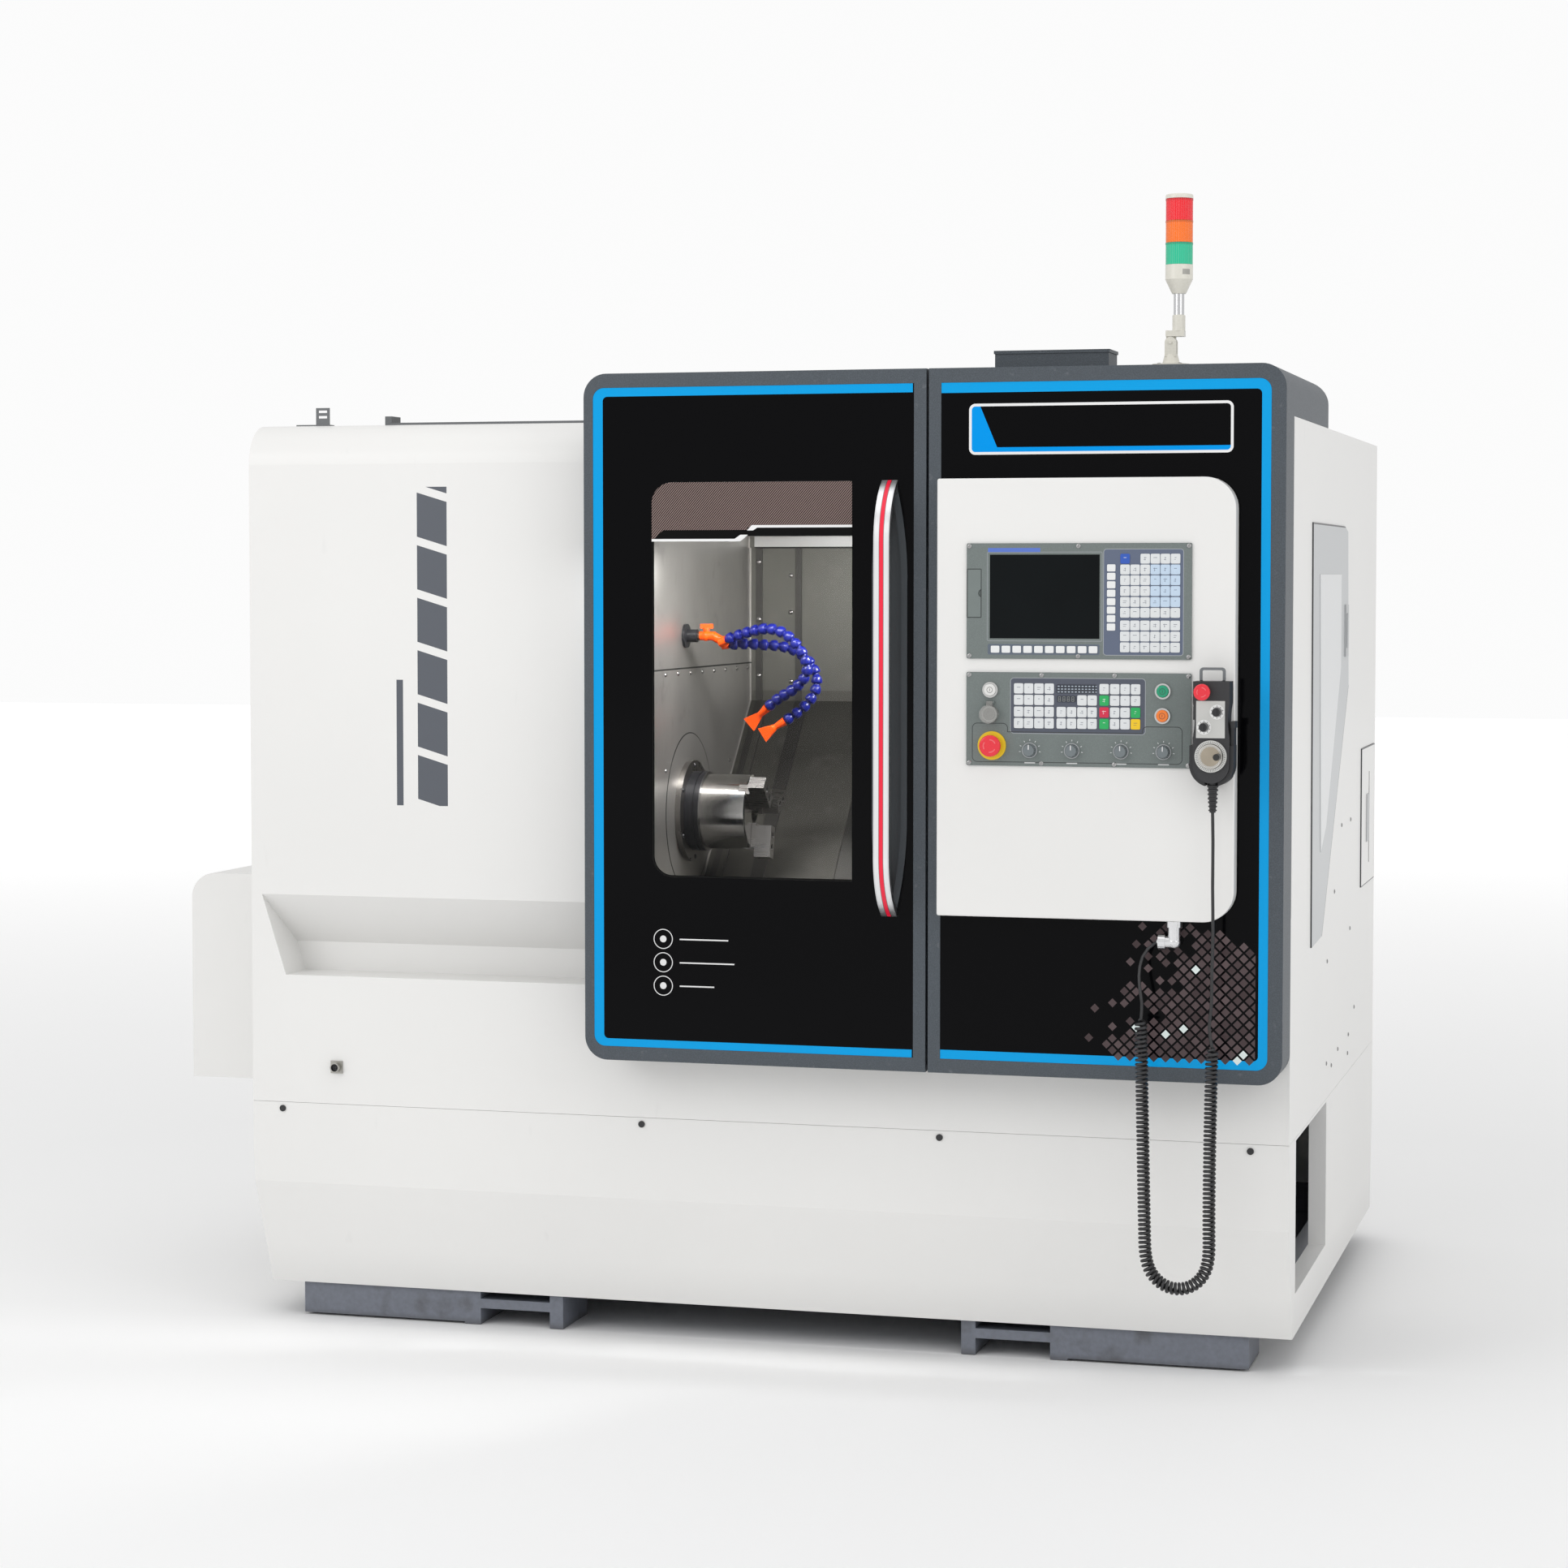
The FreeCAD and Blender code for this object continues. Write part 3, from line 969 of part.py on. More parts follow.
def door_panel():
    x0 = DOOR_X0 + DOOR_BORDER + GAP
    x1 = -SPLIT_GAP - BORDER_SPLIT - GAP
    z0 = FRAME_BOTTOM + BORDER_BOTTOM + GAP
    z1 = FRAME_TOP - BORDER_TOP - GAP
    panel = rounded(x0, x1, z0, z1, PANEL_FRONT, PANEL_FRONT + PANEL_T, PANEL_R - GAP, 0)
    panel = panel.cut(rounded(WINDOW_X, WINDOW_X + WINDOW_W, WINDOW_Z, WINDOW_Z + WINDOW_H, -1, 9,
                              WINDOW_R, 3))
    grip_z0 = HANDLE_Z0 + 22
    grip_z1 = HANDLE_Z1 - 22
    panel = panel.cut(lens_plate(POCKET_HALF - POCKET_RIM + 1, POCKET_END - 4, grip_z0, grip_z1, -1, 9))
    save("door_panel", panel)
    g = GAP
    glass = rounded(WINDOW_X + g, WINDOW_X + WINDOW_W - g, WINDOW_Z + g, WINDOW_Z + WINDOW_H - g, PANEL_FRONT,
                    PANEL_FRONT + GLASS_T, WINDOW_R - g, 3 - g)
    save("door_window", glass)
    rim = lens_plate(POCKET_HALF, POCKET_END + 2, HANDLE_Z0 + 12, HANDLE_Z1 - 12, PANEL_FRONT - GAP - 2.5,
                     PANEL_FRONT - GAP)
    tub = lens_plate(POCKET_HALF - POCKET_RIM, POCKET_END - 5, grip_z0 + 1, grip_z1 - 1,
                     PANEL_FRONT - GAP - 0.1, PANEL_FRONT + POCKET_DEPTH)
    hollow = lens_plate(POCKET_HALF - POCKET_RIM - 2.5, POCKET_END - 7.5, grip_z0 + 5, grip_z1 - 5, -20,
                        PANEL_FRONT + POCKET_DEPTH - 2.5)
    pocket = fuse(rim, tub).cut(hollow)
    ends = [block(HANDLE_X - HANDLE_W / 2 - 0.5, HANDLE_X + HANDLE_W / 2 + 0.5, -20, 0.1, z - 14, z + 14)
            for z in (HANDLE_Z0 + 12, HANDLE_Z1 - 12)]
    for tool in ends:
        pocket = pocket.cut(tool)
    save("handle_pocket", pocket)


def door_handle():
    x0 = HANDLE_X - HANDLE_W / 2
    save("door_handle", bow(x0, x0 + HANDLE_W, HANDLE_REACH, HANDLE_T, HANDLE_Z0, HANDLE_Z1))


def door_rail():
    """Rail and brackets on the cover's top, and the fixed guide fingers behind the door's foot."""
    z0 = COVER_TOP + GAP
    rail = block(RAIL_X0, 2, RAIL_Y - 8, RAIL_Y + 8, z0, COVER_TOP + 5)
    stop = block(RAIL_X0 - 14, RAIL_X0, RAIL_Y - 8, RAIL_Y + 8, z0, COVER_TOP + 18)
    tab = block(RAIL_X0 - 3, RAIL_X0, RAIL_Y + 7, RAIL_Y + 40, z0, COVER_TOP + 18)
    lone = fuse(block(-1317, -1288, RAIL_Y, RAIL_Y + 3, z0, COVER_TOP + 37),
                block(-1360, -1288, RAIL_Y, RAIL_Y + 26, z0, COVER_TOP + 3.3))
    for z in (COVER_TOP + 16, COVER_TOP + 27):
        lone = lone.cut(block(-1312, -1293, RAIL_Y - 1, RAIL_Y + 4, z, z + 5))
    wall = BODY_SETBACK - GAP
    mid = 644
    fingers = fuse(block(-650, -600, DOOR_D - 6, wall, mid + 4 + GAP, mid + 10),
                   block(-650, -600, DOOR_D - 6, wall, mid - 10, mid - 4 - GAP),
                   block(-650, -600, wall - 4, wall, mid - 24, mid + 24))
    save("door_rail", Part.makeCompound([fuse(rail, stop, tab), lone, fingers]))


# ---- work area ----
def work_liner():
    t = LINER_SHEET
    front = BODY_SETBACK + SHEET + GAP
    foot_y, foot_z = slant(SLANT_L, 0)
    top = HEADER_Z
    section = [(front, foot_z - 40), (front, top + t), (BACK_Y + t, top + t), (BACK_Y + t, SLANT_Z + t),
               (foot_y + t, foot_z + t), (foot_y, foot_z - 40)]
    walls = [prism_x(section, x, x + t) for x in (WALL_X - t, RIGHT_WALL_X)]
    back = block(WALL_X - 1, RIGHT_WALL_X + 1, BACK_Y, BACK_Y + t, SLANT_Z, top + t)
    roof = block(WALL_X - 1, RIGHT_WALL_X + 1, front, BACK_Y + 1, top, top + t)
    covers = [slant_block(x0, x1, -4, SLANT_L, -t, 0) for x0, x1 in
              ((WALL_X - 1, COVER_LEFT), (COVER_RIGHT, RIGHT_WALL_X + 1))]
    lips = [slant_block(COVER_LEFT - 1, COVER_RIGHT + 1, u0, u1, -t, 0) for u0, u1 in
            ((-4, 30), (SLANT_L - 50, SLANT_L))]
    rail = block(WALL_X, RIGHT_WALL_X, BACK_Y - 10, BACK_Y + 1, top - 24, top + 1)
    ribs = []
    for x in (WALL_X + 14, WALL_X + 101):
        ribs.append(block(x, x + 14, BACK_Y - 4, BACK_Y + 1, SLANT_Z + 2, top))
        ribs.append(slant_block(x, x + 28, 6, SLANT_L - 10, -1, 4))
    plate = rod((WALL_X - 1, SPINDLE_Y, SPINDLE_Z), (WALL_X + 1.5, SPINDLE_Y, SPINDLE_Z), COVER_PLATE_R)
    plate = plate.common(block(WALL_X - 1, WALL_X + 2, front, BACK_Y, 0, 2000))
    lap = [(front, foot_z + 60), (front, LAP_Z), (BACK_Y - 5, LAP_Z), (BACK_Y - 5, SLANT_Z + 8),
           (foot_y + 10, foot_z + 20)]
    lap_sheet = prism_x(lap, WALL_X - 1, WALL_X + 0.8)
    shell = fuse(walls[0], walls[1], back, roof, *covers, *lips, rail, *ribs, lap_sheet, plate)
    hole = rod((WALL_X - 10, SPINDLE_Y, SPINDLE_Z), (WALL_X + 10, SPINDLE_Y, SPINDLE_Z), NOSE_R + GAP)
    shell = shell.cut(hole)
    save("work_liner", shell)


def coolant():
    x = WALL_X + GAP + 0.2
    y, z = PORT_Y, PORT_Z
    flange = rod((x, y, z), (x + 5, y, z), 24)
    nut = rod((x + 4, y, z), (x + 26, y, z), 13)
    body = rod((x + 25, y, z), (x + 62, y, z), 9)
    bulge = Part.makeSphere(10.5, vec(x + 44, y, z))
    boss = rod((x + 44, y, z), (x + 44, y, z + 11), 6)
    stub = rod((x + 44, y, z + 10), (x + 44, y, z + 15), 2.5)
    turn_end = (x + 78, y + 6, z - 12)
    knee = rod((x + 58, y, z), turn_end, 9)
    joint = Part.makeSphere(12, vec(*turn_end))
    ports = []
    for points in (HOSE_A, HOSE_B):
        start = vec(*points[0])
        way = vec(*points[1]) - start
        way.normalize()
        ports.append(Part.makeCylinder(8, 14, start - way * 14.2, way))
    nozzles = []
    for points in (HOSE_A, HOSE_B):
        end = vec(*points[-1])
        way = end - vec(*points[-2])
        way.normalize()
        tip = end + way * NOZZLE_L
        neck = Part.makeCone(9, 6, NOZZLE_L * 0.4, end + way * GAP, way)
        mouth = Part.makeCone(5, NOZZLE_W, NOZZLE_L * 0.66, end + way * (NOZZLE_L * 0.34), way)
        flat = Part.makeBox(60, 7, 60, tip + vec(-30, -3.5, -30))
        nozzles.append(fuse(neck, mouth.common(flat)))
    valve = fuse(flange, nut, body, bulge, boss, stub, knee, joint, *ports)
    save("coolant_fittings", Part.makeCompound([valve] + nozzles))
    lever = fuse(rod((x + 44, y, z + 11 + GAP), (x + 44, y, z + 16), 7),
                 block(x + 32, x + 58, y - 3, y + 3, z + 15, z + 24))
    save("valve_lever", lever.cut(rod((x + 44, y, z), (x + 44, y, z + 15 + GAP), 2.5 + FIT)))
    hoses = [route_tube("coolant_hose", points, HOSE_R) for points in (HOSE_A, HOSE_B)]
    save("coolant_hoses", Part.makeCompound(hoses))


# ---- spindle ----
def headstock():
    x0 = WALL_X - LINER_SHEET - GAP
    x1 = x0 - HEADSTOCK_L
    y, z = SPINDLE_Y, SPINDLE_Z
    axis_u = ((BACK_Y - y) + (SLANT_Z - z)) * ROOT_HALF
    axis_n = ((BACK_Y - y) - (SLANT_Z - z)) * ROOT_HALF
    barrel = rod((x1, y, z), (x0, y, z), HEADSTOCK_R)
    seat = slant_block(x1, x0, axis_u - HEADSTOCK_R, axis_u + HEADSTOCK_R, BED_N + GAP, axis_n)
    nose = rod((x0 - 1, y, z), (WALL_X + 2.5, y, z), NOSE_R)
    flange = rod((WALL_X + 1.5 + GAP, y, z), (WALL_X + 1.5 + GAP + FLANGE_T, y, z), FLANGE_R)
    solid = fuse(barrel, seat, nose, flange)
    bolts = []
    face = WALL_X + 1.5 + GAP + FLANGE_T
    for k in range(6):
        a = radians(30 + 60 * k)
        by, bz = y + 92 * cos(a), z + 92 * sin(a)
        bolts.append(rod((face - 5, by, bz), (face + 1, by, bz), 5))
    for tool in bolts:
        solid = solid.cut(tool)
    save("headstock", solid.cut(rod((x1 - 1, y, z), (face + 2, y, z), SPINDLE_R + FIT)))


def spindle():
    y, z = SPINDLE_Y, SPINDLE_Z
    face = WALL_X + 1.5 + GAP + FLANGE_T
    rear = WALL_X - LINER_SHEET - GAP - HEADSTOCK_L
    front = face + GAP + ADAPTOR_L
    shaft = rod((rear - 60, y, z), (face + 5, y, z), SPINDLE_R)
    ring = rod((face + GAP, y, z), (front, y, z), ADAPTOR_R)
    groove = pipe((front - 13, y, z), (front - 10, y, z), ADAPTOR_R + 1, ADAPTOR_R - 2.5)
    brake = rod((rear - 18, y, z), (rear - GAP, y, z), 95)
    cylinder = rod((rear - 250, y, z), (rear - 40, y, z), 80)
    solid = fuse(shaft, ring, brake, cylinder).cut(groove)
    save("spindle_shaft", solid.cut(rod((rear - 260, y, z), (front + 1, y, z), BORE_R + 1)))
    x0 = front + GAP
    x1 = x0 + CHUCK_L
    body = rod((x0, y, z), (x1, y, z), CHUCK_R)
    rims = [e for e in body.Edges if e.Length > 6 * CHUCK_R and e.BoundBox.XMin > x1 - 1]
    body = body.makeChamfer(2.5, rims)
    body = body.cut(rod((x0 - 1, y, z), (x1 + 1, y, z), BORE_R))
    for number, angle in enumerate(JAW_ANGLES):
        turn = (vec(0, y, z), vec(1, 0, 0), angle)
        width = JAW_TONGUE / 2
        slot = block(x1 - JAW_TONGUE_D - GAP, x1 + 1, y + BORE_R - 6, y + CHUCK_R + 5, z - width - GAP,
                     z + width + GAP)
        slot.rotate(*turn)
        body = body.cut(slot)
        tongue = block(x1 - JAW_TONGUE_D, x1 + 1, y + JAW_R0 + 2, y + CHUCK_R - 2, z - width, z + width)
        base = block(x1 + GAP, x1 + JAW_BASE, y + JAW_R0 - 5, y + CHUCK_R - 1, z - JAW_W / 2, z + JAW_W / 2)
        high = block(x1 + JAW_BASE - 1, x1 + JAW_REACH, y + JAW_R0, y + JAW_R1, z - JAW_W / 2, z + JAW_W / 2)
        jaw = fuse(tongue, base, high)
        for reach in (JAW_R0 + 18, JAW_R0 + 42):
            jaw = jaw.cut(rod((x1 + JAW_REACH - 9, y + reach, z), (x1 + JAW_REACH + 1, y + reach, z), 6.5))
        jaw.rotate(*turn)
        save(f"chuck_jaw_{number + 1}", jaw)
    save("chuck_body", body)


# ---- feed axes ----
def z_screw():
    at = slant(SCREW_U, SCREW_N)
    save("z_screw", rod((WALL_X + 22, *at), (BED_X1 + 50, *at), Z_SCREW_R))


def z_carriage():
    x0, x1 = SADDLE_X0, SADDLE_X0 + SADDLE_L
    rail_top = BED_N + RAIL_H
    base = slant_block(x0, x1, RAIL_U[0] - 40, RAIL_U[1] + 40, rail_top + GAP, -20)
    legs = []
    for u in RAIL_U:
        for side in (-1, 1):
            inner = u + side * (RAIL_W / 2 + GAP)
            outer = inner + side * 15
            legs.append(slant_block(x0 + 20, x1 - 20, min(inner, outer), max(inner, outer), BED_N + 10,
                                    rail_top + 1))
    nut = slant_block(x0 + 140, x0 + 200, SCREW_U - 24, SCREW_U + 24, BED_N + 3, rail_top + 1)
    nx0, nx1 = x0 + NECK_INSET, x1 - NECK_INSET
    neck = slant_block(nx0, nx1, 250, 700, -21, NECK_TOP)
    sheets = [slant_block(COVER_LEFT - 10, nx0 + 1, 34, SLANT_L - 54, -8, -5),
              slant_block(nx1 - 1, RIGHT_WALL_X - 5, 34, SLANT_L - 54, -8, -5)]
    closers = [slant_block(nx0, nx1, a, b, -8, -5) for a, b in ((34, 251), (699, SLANT_L - 54))]
    middle = (nx0 + nx1) / 2
    rails = [slant_block(middle + s * 97.5 - X_RAIL_W / 2, middle + s * 97.5 + X_RAIL_W / 2, 250, 700,
                         NECK_TOP - 1, NECK_TOP + X_RAIL_H) for s in (-1, 1)]
    ends = [slant_block(middle - 25, middle + 25, a, a + 20, NECK_TOP - 1, NECK_TOP + X_RAIL_H - 0.5)
            for a in (254, 678)]
    motor = slant_block(middle - 35, middle + 35, 160, 251, 3, X_SCREW_N + 35)
    solid = fuse(base, *legs, nut, neck, *sheets, *closers, *rails, *ends, motor)
    at = slant(SCREW_U, SCREW_N)
    solid = solid.cut(rod((x0 - 1, *at), (x1 + 1, *at), Z_SCREW_R + FIT))
    save("z_carriage", solid.cut(slant_rod(middle, 215, 701, X_SCREW_N, X_SCREW_R + FIT)))
    save("x_screw", slant_rod(middle, 220, 696, X_SCREW_N, X_SCREW_R))


def cross_slide():
    x0, x1 = SLIDE_X0, SLIDE_X0 + SLIDE_W
    u0, u1 = SLIDE_U0, SLIDE_U0 + SLIDE_L
    rail_top = NECK_TOP + X_RAIL_H
    middle = SADDLE_X0 + SADDLE_L / 2
    base = slant_block(x0, x1, u0, u1, rail_top + GAP, 68)
    legs = []
    for s in (-1, 1):
        for side in (-1, 1):
            inner = middle + s * 97.5 + side * (X_RAIL_W / 2 + GAP)
            outer = inner + side * 12
            legs.append(slant_block(min(inner, outer), max(inner, outer), u0 + 15, u1 - 15, NECK_TOP + 4,
                                    rail_top + 1))
    nut = slant_block(middle - 18, middle + 18, u0 + 90, u0 + 130, NECK_TOP + 1, rail_top + 1)
    gang = slant_block(x0 - 20, x1 + 20, u0 - 20, u1 + 20, 67, GANG_TOP)
    for u in (u0 + 15, u0 + 75, u0 + 135, u0 + 195):
        gang = gang.cut(slant_block(x0 - 21, x1 + 21, u - 5, u + 5, GANG_TOP - 8, GANG_TOP + 1))
    pieces = [base, *legs, nut, gang]
    axis_n = ((BACK_Y - SPINDLE_Y) - (SLANT_Z - SPINDLE_Z)) * ROOT_HALF
    for number, u in enumerate((u0 + 5, u0 + 75, u0 + 145, u0 + 215)):
        pieces.append(slant_block(30, 130, u - 24, u + 24, GANG_TOP - 1, axis_n + 28))
        if number % 2:
            pieces.append(slant_block(-50, 31, u - 10, u + 10, axis_n - 20, axis_n))
        else:
            at = slant(u, axis_n)
            pieces.append(rod((-70, *at), (31, *at), 10))
    solid = fuse(*pieces)
    save("cross_slide", solid.cut(slant_rod(middle, u0 - 30, u1 + 30, X_SCREW_N, X_SCREW_R + FIT)))


def main():
    bed_casting()
    base_skirt()
    fittings()
    front_housing()
    rear_housing()
    side_door()
    service_door()
    cabinet_door()
    left_box()
    hood_shell()
    frame_panel()
    control_pod()
    cnc_bezel()
    operator_panel()
    guard_cover()
    pendant()
    pendant_cradle()
    cord()
    signal_tower()
    door_frame()
    door_panel()
    door_handle()
    door_rail()
    work_liner()
    coolant()
    headstock()
    spindle()
    z_screw()
    z_carriage()
    cross_slide()


main()
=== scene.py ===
import math

import bmesh
import bpy
import numpy as np
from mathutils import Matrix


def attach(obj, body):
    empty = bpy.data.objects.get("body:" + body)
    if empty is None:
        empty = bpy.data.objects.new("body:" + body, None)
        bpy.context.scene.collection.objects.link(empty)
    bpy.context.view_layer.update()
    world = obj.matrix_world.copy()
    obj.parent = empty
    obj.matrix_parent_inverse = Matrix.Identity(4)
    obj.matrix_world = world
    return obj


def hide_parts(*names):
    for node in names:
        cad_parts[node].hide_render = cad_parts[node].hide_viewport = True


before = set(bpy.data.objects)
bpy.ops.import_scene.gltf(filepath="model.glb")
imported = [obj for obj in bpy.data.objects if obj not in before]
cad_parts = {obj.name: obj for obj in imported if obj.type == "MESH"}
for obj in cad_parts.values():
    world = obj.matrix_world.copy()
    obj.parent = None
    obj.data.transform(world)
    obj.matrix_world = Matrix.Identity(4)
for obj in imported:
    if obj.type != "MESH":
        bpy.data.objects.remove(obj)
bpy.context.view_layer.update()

# The looks of an enclosed slant-bed turning lathe, put on round its packed frame.
#
# Sizes inside the functions are in millimetres on the machine's datum: x = 0 at the split between door and
# control frame, y = 0 at their front plane, z = 0 on the floor. datum() turns them into frame metres.

bl_info = {
    "name": "Slant-bed turning lathe finish",
    "version": (1, 0, 0),
    "blender": (4, 5, 0),
    "location": "View3D > Sidebar > Lathe",
    "description": "Gives the packed lathe frame its paint, prints, keys, hoses, cord and stage",
    "category": "Object",
}

DATUM = np.array((506.0, -756.5, 0.0))      # from the machine's datum to the frame's origin
SPINDLE = (355.0, 1033.0)                   # y and z of the spindle axis
PAD_SIDES = 20                              # points round a key
PANEL_FACE = -39.0                          # front of the screen bezel and of the operator panel
DIALS = (203.6, 282.3, 373.6, 452.0)
DIAL_Z = 1184.8
PENDANT_DIAL = (547.0, 1181.0)
JAW_ANGLES = (17.0, 137.0, 257.0)
SOFT_ROW, SOFT_ROW_PITCH = (137.94, 1370.81), 20.356            # x and z of the first key under the screen
SOFT_COLUMN, SOFT_COLUMN_PITCH = (354.22, 1520.57), 15.449      # and of the top key beside it
LETTER_X, LETTER_PITCH = 379.66, 18.54
LETTER_ROWS = (1537.29, 1517.67, 1498.04, 1478.41, 1458.41, 1438.79, 1415.52, 1395.53, 1375.54)
PANEL_COLUMNS = (182.47, 201.37, 220.63, 239.90, 262.44, 281.70, 300.97, 319.87, 342.04, 361.67, 380.94, 400.20)
PANEL_ROWS = (1298.84, 1277.76, 1255.95, 1234.86)
STATUS_BOX = (253.17, 328.41, 1290.48, 1306.84)                 # x from and to, z from and to
COUNTER_BOX = (254.26, 289.52, 1274.12, 1285.75)
POWER_SPOT, GUARD_SPOT = (129.2, 1295.7), (128.2, 1250.9)       # x and z of the panel's round buttons
START_SPOT, HOLD_SPOT = (450.4, 1295.6), (450.0, 1250.7)
ESTOP_SPOT, HAND_ESTOP_SPOT = (132.6, 1192.7), (532.3, 1297.0)
HAND_DIALS = ((557.7, 1261.0), (534.3, 1233.6))
TOWER = (454.0, 100.0)                      # x and y of the signal tower's axis
HANDLE_X = -72.0
RING_X = -518.0                             # middle of the three rings printed on the door
SIDE_SCREWS = ((1126.7, 986.1), (954.3, 986.0), (827.6, 857.8), (1127.5, 752.7), (705.3, 727.0), (1111.8, 525.9),
               (910.2, 521.4), (704.6, 519.1), (1098.6, 487.5), (792.4, 503.6), (1221.8, 571.9))

CAMERA_PLACE = (1.9602, -7.0011, 1.5053)
CAMERA_TILT, CAMERA_TURN = 87.29, 15.5      # degrees
CAMERA_LENS, CAMERA_SENSOR, CAMERA_SHIFT = 78.7, 36.0, -0.029
FLOOR_HALF = 30.0                           # metres

LEAD_ROUTE = ((1.053, -0.8265, 1.078), (1.0545, -0.8265, 1.02), (1.0535, -0.827, 0.945), (1.0555, -0.8265, 0.862),
              (1.053, -0.826, 0.78), (1.0535, -0.8265, 0.722), (1.0475, -0.8265, 0.687), (1.0545, -0.8265, 0.652))
COIL_ROUTE = ((1.0545, -0.8265, 0.652), (1.053, -0.827, 0.578), (1.051, -0.8255, 0.456), (1.0505, -0.8265, 0.33),
              (1.052, -0.8275, 0.25), (1.029, -0.8275, 0.214), (0.993, -0.828, 0.202), (0.957, -0.8275, 0.215),
              (0.934, -0.8265, 0.25), (0.932, -0.8265, 0.328), (0.929, -0.8255, 0.448), (0.9265, -0.8265, 0.57),
              (0.924, -0.8265, 0.7))
TAIL_ROUTE = ((0.924, -0.8265, 0.7), (0.9265, -0.826, 0.727), (0.9195, -0.8225, 0.758), (0.9175, -0.8115, 0.792),
              (0.9255, -0.7915, 0.823), (0.9446, -0.7765, 0.835))
HOSE_ROUTES = (((0.017, -0.4305, 1.378), (0.044, -0.4325, 1.388), (0.078, -0.4425, 1.397), (0.114, -0.4525, 1.403),
                (0.15, -0.4565, 1.392), (0.178, -0.4535, 1.362), (0.193, -0.4485, 1.328), (0.184, -0.4405, 1.302),
                (0.154, -0.4295, 1.277), (0.12, -0.4185, 1.261), (0.099, -0.4135, 1.243)),
               ((0.017, -0.4085, 1.368), (0.046, -0.4045, 1.371), (0.082, -0.3935, 1.368), (0.12, -0.3835, 1.366),
                (0.158, -0.3775, 1.353), (0.187, -0.3765, 1.322), (0.194, -0.3805, 1.286), (0.18, -0.3865, 1.256),
                (0.156, -0.3935, 1.232), (0.131, -0.3985, 1.216)))


# ---- settings ----
def tone(name, text, rgb):
    return bpy.props.FloatVectorProperty(name=name, description=text, subtype="COLOR", size=3, min=0, max=1,
                                         default=rgb)


def size(name, text, metres):
    return bpy.props.FloatProperty(name=name, description=text, unit="LENGTH", subtype="DISTANCE", default=metres,
                                   min=0, precision=4)


def level(name, text, value):
    return bpy.props.FloatProperty(name=name, description=text, default=value, min=0)


class LathePaint(bpy.types.PropertyGroup):
    """Colours of the machine"""
    body: tone("Enclosure", "Off-white enclosure paint", (0.80, 0.795, 0.78))
    trim: tone("Trim", "Dark grey paint of the door and frame edges", (0.050, 0.061, 0.073))
    feet: tone("Feet", "Grey paint of the cast feet", (0.150, 0.163, 0.195))
    border: tone("Border", "Blue printed border", (0.006, 0.34, 0.74))
    black: tone("Panels", "Gloss black of the two large panels", (0.0015, 0.0015, 0.002))
    console: tone("Console", "Grey of the screen bezel and the operator panel", (0.150, 0.176, 0.170))
    hose: tone("Hose", "Blue of the jointed coolant hoses", (0.008, 0.014, 0.24))
    valve: tone("Valve", "Orange of the valve and the nozzles", (1.0, 0.085, 0.003))


class LatheCord(bpy.types.PropertyGroup):
    """Sizes of the pendant's cord"""
    wire: size("Wire", "Diameter of the cord itself", 0.006)
    coil: size("Coil", "Outside diameter of the curly stretch", 0.025)
    pitch: size("Pitch", "Distance between two turns of the curly stretch", 0.0082)


class LatheHose(bpy.types.PropertyGroup):
    """Sizes of the jointed coolant hoses"""
    radius: size("Radius", "Outside radius of one hose link", 0.0112)
    link: size("Link", "Length of one hose link", 0.0195)


class LatheDetail(bpy.types.PropertyGroup):
    """Sizes of the small pieces"""
    key_height: size("Key height", "How far a membrane key stands out of its panel", 0.0011)
    screw: size("Screw", "Radius of a panel screw's head", 0.0042)
    rivet: size("Sheet screw", "Radius of a sheet screw's head", 0.0046)


class LatheStage(bpy.types.PropertyGroup):
    """Floor and lights"""
    floor: tone("Floor", "Colour of the floor", (0.92, 0.92, 0.92))
    sky: level("Sky", "Strength of the even light all round", 0.82)
    key: level("Key", "Power of the front left softbox in watts", 62.0)
    fill: level("Fill", "Power of the right softbox in watts", 30.0)
    inside: level("Work lamp", "Power of the lamp in the work space in watts", 8.0)


# ---- geometry ----
def datum(points):
    """Datum millimetres to frame metres: add the datum's offset and divide by a thousand."""
    return (np.asarray(points, float) + DATUM) / 1000.0


def lattice(rows, columns):
    """Quad faces of a tube of points: each point joins the next in its ring and in the next ring, and rings wrap."""
    row = np.arange(rows - 1)[:, None]
    column = np.arange(columns)[None, :]
    ahead = (column + 1) % columns
    faces = np.stack(np.broadcast_arrays(row * columns + column, row * columns + ahead, (row + 1) * columns + ahead,
                                         (row + 1) * columns + column), -1)
    return faces.reshape(-1, 4)


def fresh(name, points, faces, body, material, slot=None, smooth=True, stand_for=()):
    """Makes one closed piece in frame metres, with its doubles merged and its faces turned outwards."""
    mesh = bpy.data.meshes.new(name)
    mesh.from_pydata(np.asarray(points, float).reshape(-1, 3).tolist(), [], np.asarray(faces).tolist())
    shape = bmesh.new()
    shape.from_mesh(mesh)
    bmesh.ops.remove_doubles(shape, verts=shape.verts, dist=1e-6)
    bmesh.ops.dissolve_degenerate(shape, edges=shape.edges, dist=1e-7)
    bmesh.ops.recalc_face_normals(shape, faces=shape.faces)
    shape.to_mesh(mesh)
    shape.free()
    if smooth:
        mesh.shade_smooth()
        mesh.set_sharp_from_angle(angle=math.radians(38))
    mesh.materials.append(material)
    piece = bpy.data.objects.new(name, mesh)
    bpy.context.scene.collection.objects.link(piece)
    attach(piece, body)
    if stand_for:
        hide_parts(*stand_for)
    return piece


